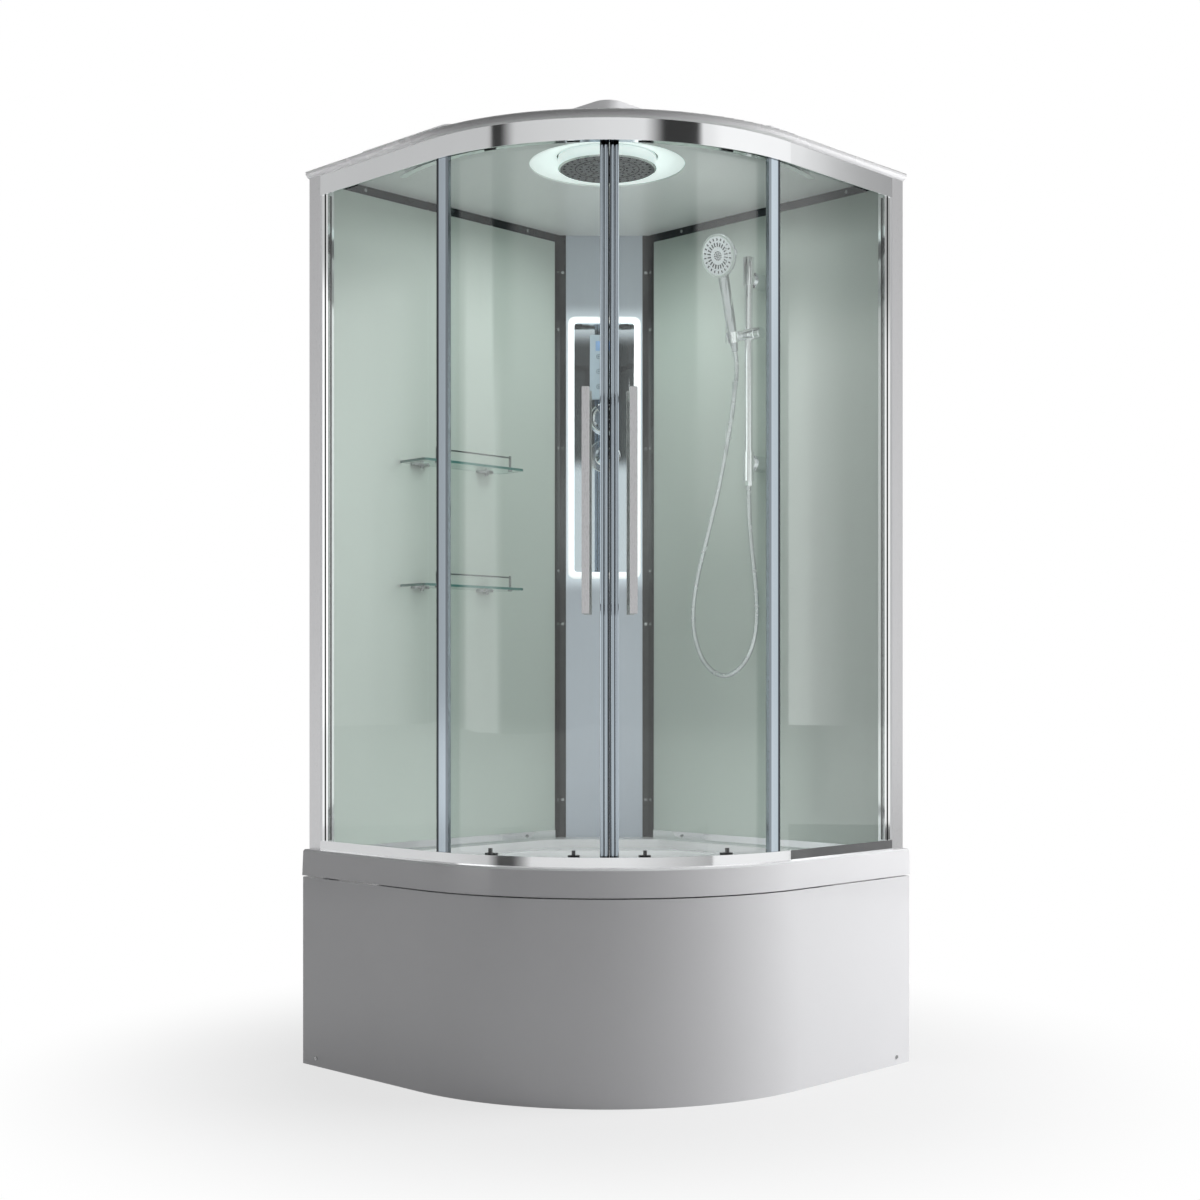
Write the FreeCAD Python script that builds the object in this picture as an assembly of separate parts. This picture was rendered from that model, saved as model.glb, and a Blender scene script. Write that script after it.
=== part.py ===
import FreeCAD, Part
import math
import os

# Quadrant shower cabin with a deep tray, glass rear walls, a diagonal control
# column in the rear corner and two curved sliding doors. All lengths are in
# millimetres, +Z is up and the floor is at 0. The room corner is at (-half, half),
# the left wall runs along x = -half and the right wall along y = half.
# The curved front bulges towards (+x, -y). Angles on it are measured in degrees
# about its centre, from the cabin's diagonal, and grow towards the right wall.
# Left-hand pieces are modelled, and right-hand ones are their mirror images.

# Plan
side = 1000.0
front_radius = 580.0
half = side / 2
centre_x = half - front_radius
centre_y = front_radius - half
tangent_angle = 45.0
front_reach = (side - front_radius) * math.sqrt(2) + front_radius
touch_gap = 0.3
slide_gap = 0.1

# Heights, down and up from the tray's rim
rail_seat = 496.0
lip_height = 60.0
lip_bottom = rail_seat - lip_height
skirt_gap = 3.0
skirt_top = lip_bottom - skirt_gap
deck_drop = 18.0
deck_top = rail_seat - deck_drop
enclosure_height = 1559.0
rail_top = rail_seat + enclosure_height
ceiling_rise = 6.0
ceiling_bottom = rail_top + ceiling_rise
ceiling_thickness = 4.0
roof_lip_height = 16.0
roof_lip_top = rail_top + roof_lip_height
cover_rise = 62.0
cover_top = ceiling_bottom + ceiling_thickness + cover_rise
hump_rise = 23.0
cabin_height = cover_top + hump_rise

# Tray
tray_wall = 6.0
lip_taper = 3.0
lip_round = 4.0
lip_width = 90.0
lip_slope = 6.0
riser_from_wall = 66.0
riser_from_corner = 235.0
riser_front = 484.0
ledge_drop = 21.0
ledge_top = deck_top - ledge_drop
basin_from_wall = 102.0
basin_from_corner = 325.0
basin_front = 464.0
floor_from_wall = 150.0
floor_from_corner = 385.0
floor_front = 424.0
floor_top = 110.0
basin_corner = 60.0
floor_edge_round = 22.0
drain_x = -60.0
drain_y = 60.0
drain_hole = 45.0

# Skirt
skirt_setback = 1.0
skirt_thickness = 4.0
skirt_flange = 14.0
skirt_end = 2.0
skirt_screw_along = 53.0
skirt_screw_height = 18.0

# Support frame and feet
tube = 25.0
tube_wall = 2.0
frame_bottom = 79.0
frame_from_wall = 30.0
frame_short_end = 60.0
cross_x = 130.0
cross_y = -130.0
outer_upright = 535.0
tab_height = 20.0
tab_drop = 53.0
tab_level = skirt_top - tab_drop
tab_angle = 1.5
screw_tab_width = 24.0
screw_tab_height = 16.0
screw_tab_thickness = 3.0
foot_radius = 22.0
foot_thickness = 10.0
foot_rod = 6.0
foot_nut = 9.5
foot_nut_height = 9.0
foot_neck = 11.0
foot_edge = 3.5

# Drain
drain_flange = 56.0
drain_flange_thickness = 3.0
drain_body = 40.0
drain_bottom = 30.0
drain_wall = 3.0
drain_cap = 49.0
drain_cap_rise = 7.0
drain_pipe = 20.0
drain_pipe_level = 52.0
drain_pipe_end = -430.0
drain_spigot = 30.0
drain_bead = 4.0
drain_bead_rise = 3.0
drain_cap_top = 29.0
drain_slots = 6

# Rails, measured inward from the rails' outer face
rail_inset = 20.0
rail_radius = front_radius - rail_inset
rail_wall = 3.0
bottom_rail_height = 22.0
top_rail_height = 46.0
fixed_glass_set = 6.0
door_glass_set = 23.0
glass = 5.0
groove_wall_set = 12.5
groove_wall = 2.0
groove_height = 16.0
rib_set = 35.5
rib = 2.5
rib_height = 14.0
shelf_set = 32.5
track_inner_set = 48.0
track_wall = 3.0
track_end_angle = 62.0
shelf_drop = 34.8
shelf_thickness = 2.5

# Fixed glass, its jamb and its end profile
jamb_start = 43.0
jamb_width = 14.0
jamb_front_set = 3.0
jamb_depth = 22.0
jamb_slot = 7.0
gasket_width = 9.0
gasket = 1.6
glass_foot = 4.0
glass_head = 8.0
end_profile_start_angle = -41.9
end_profile_end_angle = -38.3
fixed_glass_end_angle = -39.1
end_profile_skin = 1.4

# Doors
door_trail_angle = -41.0
door_lead_angle = -1.1
door_foot = 12.0
door_head = 9.0
closing_start_angle = -2.1
closing_end_angle = -0.35
closing_skin = 4.0
closing_inner_skin = 2.7
closing_beads = 2
bead_crown = 1.9
magnet_end_angle = -0.035
magnet_skin = 2.0
trail_seal_start_angle = -41.6
trail_seal_end_angle = -39.7
trail_seal_skin = 3.0
roller_angles = (-28.3, -8.1)
roller_radius = 10.5
roller_width = 7.0
roller_groove = 1.5
roller_axle = 2.5
roller_axle_head = 4.0
roller_axle_head_thickness = 1.2
running_gap = 0.08
carrier_width = 28.0
carrier_thickness = 3.7
carrier_below = 18.0
carrier_above = 14.0
carrier_bolt = 5.5
carrier_bolt_drop = 6.0
carrier_cap = 9.0
carrier_cap_thickness = 3.0
guide_width = 24.0
guide_reach = 13.5
guide_height = 18.0
guide_slot_height = 12.0
guide_slot_gap = 0.6
guide_tab_width = 7.0
guide_tab_height = 10.0
guide_tab_thickness = 6.0

# Door handles
handle_angle = -4.95
handle_rise = 528.0
handle_bottom = rail_seat + handle_rise
handle_length = 470.0
handle_width = 16.0
handle_thickness = 12.0
handle_reach = 31.0
inner_handle_reach = 12.0
inner_handle_thickness = 8.0
handle_leg = 7.0
handle_leg_inset = 16.0
handle_bolt = 4.0
handle_edge_round = 1.2

# Posts: an outer skin with a hook that closes on the jamb
post_start = 1.0
post_end = 43.0
post_wall = 3.0
post_depth = 50.0
post_hook = 23.0
post_boss = 5.0
post_boss_hole = 2.0

# Rear glass walls and the channels round them
channel_off = 22.0
channel_depth = 10.0
channel_skin = 2.0
channel_face = 20.0
channel_web = 3.0
column_channel_start = 197.0
column_channel_width = 17.0
front_channel_width = 27.0
front_screw_set = 9.0
wall_glass = 6.0
wall_glass_tuck = 12.0
wall_pipe_hole = 7.0

# Screws
screw_head = 4.0
screw_head_height = 2.2
screw_shank = 1.8
screw_depth = 1.7
screw_slot_share = 0.3
column_screws = 4
column_screw_inset = 98.5
extra_screw_drops = (883.0, 249.0)
wall_screw_inset = 118.5

# Control column in the rear corner, measured out from the room corner
column_front = 162.0
column_edge_inner = 101.0
column_edge_depth = 14.0
column_slot = 4.0
column_panel_set = 3.0
column_panel_thickness = 4.0
column_screw_set = 8.5

# Mirror and its light frame
light_width = 192.0
light_height = 688.0
light_drop = 215.0
light_high = ceiling_bottom - light_drop
light_low = light_high - light_height
light_border = 16.5
light_depth = 10.0
light_ledge = 8.0
light_ledge_depth = 3.0
light_corner = 20.0
mirror = 5.0
mirror_corner = 8.0
mirror_gap = 0.5

# Control panel and its keys
panel_width = 76.0
panel_height = 168.0
panel_drop = 49.0
panel_high = light_high - panel_drop
panel_low = panel_high - panel_height
panel_depth = 8.0
panel_corner = 4.0
display_width = 46.0
display_height = 26.0
display_drop = 29.0
display_level = panel_high - display_drop
display_recess = 1.0
key_radius = 7.0
key_offset = 14.5
key_drops = (57.0, 96.0, 136.0)
key_thickness = 3.0
key_stand = 0.5
key_travel = 0.8
key_gap = 0.2

# Mixer and diverter on the column
diverter_drop = 270.0
diverter_level = light_high - diverter_drop
mixer_drop = 97.0
mixer_level = diverter_level - mixer_drop
boss = 17.0
boss_hole = 18.0
boss_front = 4.0
stem = 8.0
stem_length = 18.0
plate_radius = 42.0
plate_thickness = 4.0
plate_edge = 1.5
lever_dome = 24.0
lever_dome_height = 32.0
lever_dome_top = 17.0
lever_arm = 9.0
lever_arm_length = 46.0
lever_arm_thickness = 7.0
knob_radius = 38.0
knob_waist = 34.0
knob_height = 28.0
knob_dish = 5.0
knob_dish_radius = 30.0
knob_foot = 9.0
lobe_height = 10.0
knob_lobe = 7.0
knob_lobes = 3
valve_centre = 118.0
valve_radius = 22.0
valve_over = 30.0
collar = 24.0
collar_thickness = 5.0
inlet_offset = 42.0
inlet_radius = 10.5
inlet_bore = 7.5
inlet_drop = 48.0
inlet_thread = 14.0
inlet_hexagon = 15.0
inlet_hexagon_height = 6.0
inlet_arm = 12.0
side_outlet_drop = 31.0
side_outlet_level = diverter_level - side_outlet_drop
side_outlet_length = 36.0
side_outlet = 11.0

# Pipes behind the walls and over the ceiling
rain_pipe = 8.0
rain_pipe_bend = 14.0
rain_pipe_drop = 15.0
rain_pipe_level = cover_top - rain_pipe_drop
riser_pipe = 5.0
riser_pipe_bend = 13.0
riser_pipe_off = 7.5
pipe_clearance = 1.5

# Low round cap on the column
cap_rise = 96.0
cap_level = deck_top + cap_rise
cap_radius = 12.0
cap_height = 5.0
cap_top_radius = 8.0
cap_stem = 7.5
cap_stem_depth = 9.0

# Roof, its cover, ceiling light and rain head
roof_overhang = 11.0
roof_edge = 1.0
roof_edge_low = 3.2
roof_edge_high = 13.6
roof_edge_round = 2.0
roof_lap = 20.0
cover_from_wall = 40.0
cover_from_front = 114.0
cover_cut_from_front = 288.0
cover_draft = 8.0
cover_wall = 3.0
cover_flange = 14.0
cover_corner = 30.0
dome_gap = 18.0
dome_rise = 41.0
dome_top = ceiling_bottom + ceiling_thickness + dome_rise
hump_width = 300.0
hump_corner = 40.0
light_ring = 180.0
light_ring_inner = 116.0
light_ring_rise = 12.0
light_ring_thickness = 3.0
light_ring_lap = 5.0
light_ring_foot = 6.0
light_hole_gap = 3.0
rain_from_front = 382.0
rain_centre = front_reach - rain_from_front
rain_radius = 112.0
rain_drop = 11.0
rain_bottom = ceiling_bottom - rain_drop
rain_rim = 5.0
rain_flange = 121.0
rain_flange_thickness = 3.0
rain_neck = 10.0
rain_neck_foot = 20.0
rain_neck_height = 10.0
rain_face_recess = 1.5
rain_face_thickness = 4.0
rain_groove = 2.0
rain_groove_depth = 1.0
rain_inner_share = 0.66
rain_spokes = 3

# Power box on the ceiling
box_length = 150.0
box_width = 80.0
box_height = 40.0
box_x = -330.0
box_y = -140.0
box_lug = 12.0
box_lug_thickness = 3.0
box_edge = 4.0

# Shelves on the left wall
shelf_middle = 569.0
shelf_length = 322.0
shelf_depth = 91.0
shelf_glass = 6.0
shelf_drops = (647.0, 946.0)
shelf_corner = 8.0
clip_offset = 104.0
clip_radius = 25.0
clip_plate = 3.0
clip_top_radius = 13.0
clip_screw = 4.5
clip_screw_height = 6.0
clip_back = 12.0
gallery_offset = 119.0
gallery_inset = 8.0
gallery_post = 3.0
gallery_rail = 2.0
gallery_height = 25.0
gallery_nut = 5.0
gallery_nut_height = 3.5

# Hand shower on the right wall
riser_along = 588.0
riser_off = 90.0
riser_radius = 10.0
riser_wall = 1.2
riser_sleeve = 13.5
riser_drop = 134.0
riser_span = 477.0
upper_sleeve = 68.0
lower_sleeve = 72.0
upper_mount_rise = 14.0
lower_mount_drop = 27.0
upper_sleeve_high = ceiling_bottom - riser_drop
upper_sleeve_low = upper_sleeve_high - upper_sleeve
upper_mount_level = upper_sleeve_low + upper_mount_rise
lower_sleeve_high = upper_sleeve_high - riser_span
lower_sleeve_low = lower_sleeve_high - lower_sleeve
lower_mount_level = lower_sleeve_high - lower_mount_drop
mount_radius = 20.0
mount_neck = 14.0
nut_radius = 9.5
nut_height = 12.0
slider_drop = 189.0
slider_level = upper_sleeve_high - slider_drop
slider_start = 575.5
slider_end = 612.0
slider_radius = 15.0
slider_round = 2.0
pin_radius = 4.0
pin_length = 8.0
knob_end = 628.0
clamp_radius = 14.0
clamp_flutes = 8
clamp_flute = 2.0
hub_start = 561.5
hub_radius = 13.0
cup_out = 38.0
cup_along = 568.0
cup_radius = 16.0
cup_foot_radius = 13.0
cup_height = 26.0
cup_slot = 13.5
arm_width = 12.0
hand_tilt = 14.0
handle_low = -22.0
handle_low_radius = 9.0
handle_cup_low = 9.9
handle_cup_high = 11.4
handle_mid_radius = 12.0
handle_top = 158.0
handle_top_radius = 13.5
swivel_radius = 8.0
swivel_length = 12.0
head_level = 198.0
head_radius = 51.0
head_back = -12.0
head_back_radius = 31.0
head_shoulder = -4.0
head_shoulder_radius = 47.0
head_front = 9.0
face_ring_radius = 52.0
face_depth = 6.0
face_plate_radius = 46.0
face_plate_step = 1.0
face_tab = 4.0
face_tab_width = 12.0
spray_pin = 6.0

# Shower hose
hose_radius = 6.0
hose_top_run = 40.0
hose_nut_run = 60.0
hose_bend_share = 0.45


def vec(x, y, z):
    return FreeCAD.Vector(x, y, z)


room_corner = vec(-half, half, 0)
front_centre = vec(centre_x, centre_y, 0)
up = vec(0, 0, 1)


def joined(shapes):
    """One solid, or group of solids, from shapes that touch or overlap"""
    return shapes[0].fuse(shapes[1:]).removeSplitter()


def group(shapes):
    return Part.makeCompound(shapes)


def mirrored(shape):
    """The same shape on the other side of the cabin's diagonal"""
    return shape.mirror(vec(0, 0, 0), vec(1, 1, 0))


def block(x_low, x_high, y_low, y_high, z_low, z_high):
    return Part.makeBox(x_high - x_low, y_high - y_low, z_high - z_low, vec(x_low, y_low, z_low))


def rod(radius, start, end):
    """A round bar between two points"""
    line = end.sub(start)
    return Part.makeCylinder(radius, line.Length, start, line)


def ring(outer, inner, z_low, z_high, x=0.0, y=0.0):
    disc = Part.makeCylinder(outer, z_high - z_low, vec(x, y, z_low))
    return disc.cut(Part.makeCylinder(inner, z_high - z_low, vec(x, y, z_low)))


def sector(r_in, r_out, start, end, z_low, z_high):
    """A band round the front's centre between two angles from the diagonal"""
    height = z_high - z_low
    base = vec(centre_x, centre_y, z_low)
    outer = Part.makeCylinder(r_out, height, base, up, end - start)
    band = outer.cut(Part.makeCylinder(r_in, height, base))
    band.rotate(front_centre, up, start - tangent_angle)
    return band


def section_face(points):
    """A face in the plane where the left return meets the arc, from (radius, height) points"""
    corners = [vec(centre_x, centre_y - radius, height) for radius, height in points]
    return Part.Face(Part.makePolygon(corners + corners[:1]))


def along_front(points, end_x):
    """A section carried along the left return, the whole arc and the right return"""
    face = section_face(points)
    arc = face.revolve(front_centre, up, 2 * tangent_angle)
    run = face.extrude(vec(end_x - centre_x, 0, 0))
    return joined([run, arc, mirrored(run)])


def along_left(points, end_x, end_angle):
    """A section carried along the left return and round to an angle of the arc"""
    face = section_face(points)
    arc = face.revolve(front_centre, up, tangent_angle + end_angle)
    run = face.extrude(vec(end_x - centre_x, 0, 0))
    return joined([run, arc])


def round_arc(points, reach):
    """A section turned about the front's centre, as far as an angle to either side"""
    face = section_face(points)
    band = face.revolve(front_centre, up, 2 * reach)
    band.rotate(front_centre, up, tangent_angle - reach)
    return band


def rectangle(a_low, a_high, b_low, b_high):
    return [(a_low, b_low), (a_high, b_low), (a_high, b_high), (a_low, b_high)]


def rounded_outline(corners, z):
    """A closed wire through (x, y, radius) corners, in order"""
    edges = []
    last_end = None
    first_start = None
    count = len(corners)
    for index in range(count):
        x, y, radius = corners[index]
        here = vec(x, y, z)
        before = vec(corners[index - 1][0], corners[index - 1][1], z)
        after = vec(corners[(index + 1) % count][0], corners[(index + 1) % count][1], z)
        back = before.sub(here).normalize()
        ahead = after.sub(here).normalize()
        inner = back.getAngle(ahead)
        cut = radius / math.tan(inner / 2)
        start = here.add(back * cut)
        end = here.add(ahead * cut)
        bisector = back.add(ahead).normalize()
        middle = here.add(bisector * (radius / math.sin(inner / 2) - radius))
        if last_end is not None:
            edges.append(Part.LineSegment(last_end, start).toShape())
        else:
            first_start = start
        edges.append(Part.Arc(start, middle, end).toShape())
        last_end = end
    edges.append(Part.LineSegment(last_end, first_start).toShape())
    return Part.Wire(edges)


def slab(corners, z_low, z_high):
    outline = rounded_outline(corners, z_low)
    return Part.Face(outline).extrude(vec(0, 0, z_high - z_low))


def plan_corners(from_wall, radius, corner):
    """The cabin's plan: three square corners with a small round, and the curved front"""
    low = -half + from_wall
    high = half - from_wall
    front = centre_y - radius
    right = centre_x + radius
    return [(low, front, corner), (right, front, radius), (right, high, corner), (low, high, corner)]


def basin_corners(from_wall, from_corner, radius, corner):
    """The tray's inner plan: the curved front, and the rear corner cut across"""
    low = -half + from_wall
    high = half - from_wall
    front = centre_y - radius
    right = centre_x + radius
    cut = from_corner * math.sqrt(2) - from_wall
    return [
        (low, front, corner),
        (right, front, radius),
        (right, high, corner),
        (-half + cut, high, corner),
        (low, half - cut, corner),
    ]


def tapered(low_corners, z_low, high_corners, z_high):
    """A solid between two plans of the same kind"""
    wires = [rounded_outline(low_corners, z_low), rounded_outline(high_corners, z_high)]
    return Part.makeLoft(wires, True, True)


def rounded_at(shape, z, radius):
    """The shape with its edges at one height rounded"""
    edges = [e for e in shape.Edges if all(abs(v.Z - z) < touch_gap for v in e.Vertexes)]
    return shape.makeFillet(radius, edges)


def on_left(along, off, z):
    """A point by its distance along the left wall from the corner, and off the wall"""
    return vec(-half + off, half - along, z)


def on_right(along, off, z):
    return vec(-half + along, half - off, z)


def left_block(along_low, along_high, off_low, off_high, z_low, z_high):
    return block(-half + off_low, -half + off_high, half - along_high, half - along_low, z_low, z_high)


def in_column(shape):
    """Places a shape made with x across the column and -y out of the room corner"""
    shape.rotate(vec(0, 0, 0), up, tangent_angle)
    shape.translate(room_corner)
    return shape


def column_block(u_low, u_high, w_low, w_high, z_low, z_high):
    return block(u_low, u_high, -w_high, -w_low, z_low, z_high)


def column_plate(width, z_low, z_high, w_low, w_high, corner):
    """An upright plate with rounded corners, across the column"""
    plate = block(-width / 2, width / 2, -w_high, -w_low, z_low, z_high)
    edges = [e for e in plate.Edges if abs(e.Vertexes[0].Y - e.Vertexes[-1].Y) > (w_high - w_low) / 2]
    return plate.makeFillet(corner, edges)


def column_rod(radius, u, z, w_low, w_high):
    return rod(radius, vec(u, -w_low, z), vec(u, -w_high, z))


def turned_out(points, u, z):
    """A body turned about the axis that stands out of the column; points are (radius, out)"""
    corners = [vec(u + radius, -out, z) for radius, out in points]
    face = Part.Face(Part.makePolygon(corners + corners[:1]))
    return face.revolve(vec(u, 0, z), vec(0, 1, 0), 360)


def turned_up(points, x, y):
    """A body turned about a vertical axis; points are (radius, height)"""
    corners = [vec(x + radius, y, height) for radius, height in points]
    face = Part.Face(Part.makePolygon(corners + corners[:1]))
    return face.revolve(vec(x, y, 0), up, 360)


def bent_pipe(points, radius, bend):
    """A pipe of straight runs joined by arcs of one bend radius"""
    edges = []
    last = points[0]
    for index in range(1, len(points) - 1):
        here = points[index]
        back = points[index - 1].sub(here).normalize()
        ahead = points[index + 1].sub(here).normalize()
        inner = back.getAngle(ahead)
        cut = bend / math.tan(inner / 2)
        start = here.add(back * cut)
        end = here.add(ahead * cut)
        bisector = back.add(ahead).normalize()
        middle = here.add(bisector * (bend / math.sin(inner / 2) - bend))
        edges.append(Part.LineSegment(last, start).toShape())
        edges.append(Part.Arc(start, middle, end).toShape())
        last = end
    edges.append(Part.LineSegment(last, points[-1]).toShape())
    path = Part.Wire(edges)
    circle = Part.Wire([Part.makeCircle(radius, points[0], points[1].sub(points[0]))])
    return path.makePipeShell([circle], True, False)


def wall_end():
    """How far along a wall its front channel reaches"""
    return side - rail_inset - post_hook


def tray():
    lip_inner = front_radius - lip_width
    lip_face = front_radius - lip_taper
    lip = along_front(
        [
            (front_radius, lip_bottom),
            (lip_face, rail_seat - lip_round),
            (lip_face - lip_round, rail_seat),
            (lip_inner, rail_seat),
            (lip_inner - lip_slope, deck_top),
            (lip_inner - lip_slope, deck_top - tray_wall),
            (lip_inner, deck_top - tray_wall),
            (lip_inner + tray_wall, rail_seat - tray_wall),
            (lip_face - tray_wall, rail_seat - tray_wall),
            (front_radius - tray_wall, lip_bottom),
        ],
        -half,
    )
    deck = slab(plan_corners(0, lip_inner - lip_slope / 2, touch_gap), deck_top - tray_wall, deck_top)
    riser = basin_corners(riser_from_wall, riser_from_corner, riser_front - lip_slope, basin_corner)
    ledge = basin_corners(basin_from_wall, basin_from_corner, basin_front, basin_corner)
    floor = basin_corners(floor_from_wall, floor_from_corner, floor_front, basin_corner)
    recess = slab(riser, ledge_top, deck_top)
    well = rounded_at(tapered(floor, floor_top, ledge, ledge_top), floor_top, floor_edge_round)
    wall = tray_wall
    outer_riser = basin_corners(
        riser_from_wall - wall, riser_from_corner - wall, riser_front - lip_slope + wall, basin_corner + wall
    )
    outer_ledge = basin_corners(
        basin_from_wall - wall, basin_from_corner - wall, basin_front + wall, basin_corner + wall
    )
    outer_floor = basin_corners(
        floor_from_wall - wall, floor_from_corner - wall, floor_front + wall, basin_corner + wall
    )
    under = slab(outer_riser, ledge_top - wall, deck_top - wall / 2)
    shell = tapered(outer_floor, floor_top - wall, outer_ledge, ledge_top)
    shell = rounded_at(shell, floor_top - wall, floor_edge_round)
    wall_seat = left_block(
        half - centre_y + lip_inner - wall, wall_end() + wall,
        channel_off - wall, channel_off + channel_depth + wall, deck_top - wall, rail_seat,
    )
    wall_slot = left_block(
        column_channel_start, wall_end() + touch_gap,
        channel_off - touch_gap, channel_off + channel_depth + touch_gap, deck_top, rail_seat,
    )
    body = joined([lip, deck, under, shell, wall_seat, mirrored(wall_seat)])
    body = body.cut([wall_slot, mirrored(wall_slot)])
    hole = Part.makeCylinder(drain_hole, 4 * wall, vec(drain_x, drain_y, floor_top - 2 * wall))
    return body.cut([recess, well, hole]).removeSplitter()


def skirt():
    outer = front_radius - skirt_setback
    inner = outer - skirt_thickness
    flange = inner - skirt_flange
    panel = along_front(
        [
            (outer, 0),
            (outer, skirt_top),
            (flange, skirt_top),
            (flange, skirt_top - skirt_thickness),
            (inner, skirt_top - skirt_thickness),
            (inner, skirt_thickness),
            (flange, skirt_thickness),
            (flange, 0),
        ],
        -half + skirt_end,
    )
    hole = rod(
        screw_shank + touch_gap,
        on_left(side, skirt_screw_along, skirt_screw_height),
        on_left(side - skirt_flange, skirt_screw_along, skirt_screw_height),
    )
    return panel.cut([hole, mirrored(hole)])


def tube_between(start, end):
    """A square tube along x, y or z between two points of its axis"""
    low = vec(min(start.x, end.x), min(start.y, end.y), min(start.z, end.z))
    high = vec(max(start.x, end.x), max(start.y, end.y), max(start.z, end.z))
    length = high.sub(low)

    def bar(width):
        grow = [0 if part > 0 else width / 2 for part in (length.x, length.y, length.z)]
        return block(
            low.x - grow[0], high.x + grow[0],
            low.y - grow[1], high.y + grow[1],
            low.z - grow[2], high.z + grow[2],
        )

    return bar(tube), bar(tube - 2 * tube_wall)


def frame_plan():
    """Where the uprights stand: two ends, the rear corner and two at the front"""
    wall_x = -half + frame_from_wall
    end_y = -half + frame_short_end
    reach_x = centre_x + math.sqrt(outer_upright ** 2 - (cross_y - centre_y) ** 2)
    return wall_x, end_y, reach_x


def screw_bracket():
    """A folded plate from the end upright to the skirt, with a hole for its screw"""
    wall_x, end_y, reach_x = frame_plan()
    skirt_inner = centre_y - front_radius + skirt_setback + skirt_thickness
    screw_x = -half + skirt_screw_along
    pad_start = screw_x - screw_tab_width / 2
    low = skirt_screw_height - screw_tab_height / 2
    high = skirt_screw_height + screw_tab_height / 2
    post_y = end_y - tube / 2
    sheet = screw_tab_thickness
    pad = block(pad_start, pad_start + screw_tab_width, skirt_inner, skirt_inner + sheet, low, high)
    arm = block(pad_start, pad_start + sheet, skirt_inner, post_y, low, high)
    post = block(wall_x - tube / 2, pad_start + sheet, post_y - sheet, post_y, low, frame_bottom + tube)
    screw_hole = Part.makeCylinder(
        screw_shank, tube, vec(screw_x, skirt_inner - sheet, skirt_screw_height), vec(0, 1, 0)
    )
    return joined([pad, arm, post]).cut(screw_hole)


def support_frame():
    wall_x, end_y, reach_x = frame_plan()
    level = frame_bottom + tube / 2
    near = tube / 2
    corner = vec(wall_x, -wall_x, level)
    bars = [
        tube_between(vec(wall_x, end_y + near, level), vec(wall_x, -wall_x - near, level)),
        tube_between(vec(wall_x + near, -wall_x, level), vec(-end_y - near, -wall_x, level)),
        tube_between(vec(wall_x + near, cross_y, level), vec(reach_x - near, cross_y, level)),
        tube_between(vec(cross_x, -reach_x + near, level), vec(cross_x, -wall_x - near, level)),
    ]
    deck_under = deck_top - tray_wall
    lip_under = rail_seat - tray_wall
    places = [
        (wall_x, end_y, deck_under),
        (corner.x, corner.y, deck_under),
        (-end_y, -wall_x, deck_under),
        (reach_x, cross_y, lip_under),
        (cross_x, -reach_x, lip_under),
    ]
    for x, y, top in places:
        bars.append(tube_between(vec(x, y, frame_bottom), vec(x, y, top)))
    plugs = []
    for x, y, top in places:
        plugs.append(tube_between(vec(x, y, frame_bottom), vec(x, y, frame_bottom + tube_wall * 2))[0])
    outside = joined([bar[0] for bar in bars])
    inside = [bar[1] for bar in bars]
    frame = outside.cut(inside).fuse(plugs)
    skirt_inner = front_radius - skirt_setback - skirt_thickness
    angle = math.degrees(math.atan2(cross_y - centre_y, reach_x - centre_x)) + tangent_angle
    tab = sector(
        outer_upright, skirt_inner, angle - tab_angle, angle + tab_angle, tab_level, tab_level + tab_height
    )
    tab = tab.cut(bars[-2][1])
    bracket = screw_bracket()
    return joined([frame, tab, mirrored(tab), bracket, mirrored(bracket)])


def hexagon(radius, x, y, z_low, z_high):
    corners = []
    for turn in range(6):
        angle = math.radians(60 * turn)
        corners.append(vec(x + radius * math.cos(angle), y + radius * math.sin(angle), z_low))
    return Part.Face(Part.makePolygon(corners + corners[:1])).extrude(vec(0, 0, z_high - z_low))


def feet():
    wall_x, end_y, reach_x = frame_plan()
    places = [
        (wall_x, end_y),
        (wall_x, -wall_x),
        (-end_y, -wall_x),
        (reach_x, cross_y),
        (cross_x, -reach_x),
        (cross_x, cross_y),
    ]
    result = []
    for x, y in places:
        pad = turned_up(
            [
                (0, 0),
                (foot_radius, 0),
                (foot_radius, foot_edge),
                (foot_neck, foot_thickness),
                (0, foot_thickness),
            ],
            x, y,
        )
        shank = Part.makeCylinder(foot_rod, frame_bottom - foot_thickness, vec(x, y, foot_thickness))
        nut = hexagon(foot_nut, x, y, frame_bottom - foot_nut_height, frame_bottom)
        result.append(joined([pad, shank, nut]))
    return group(result)


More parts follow.
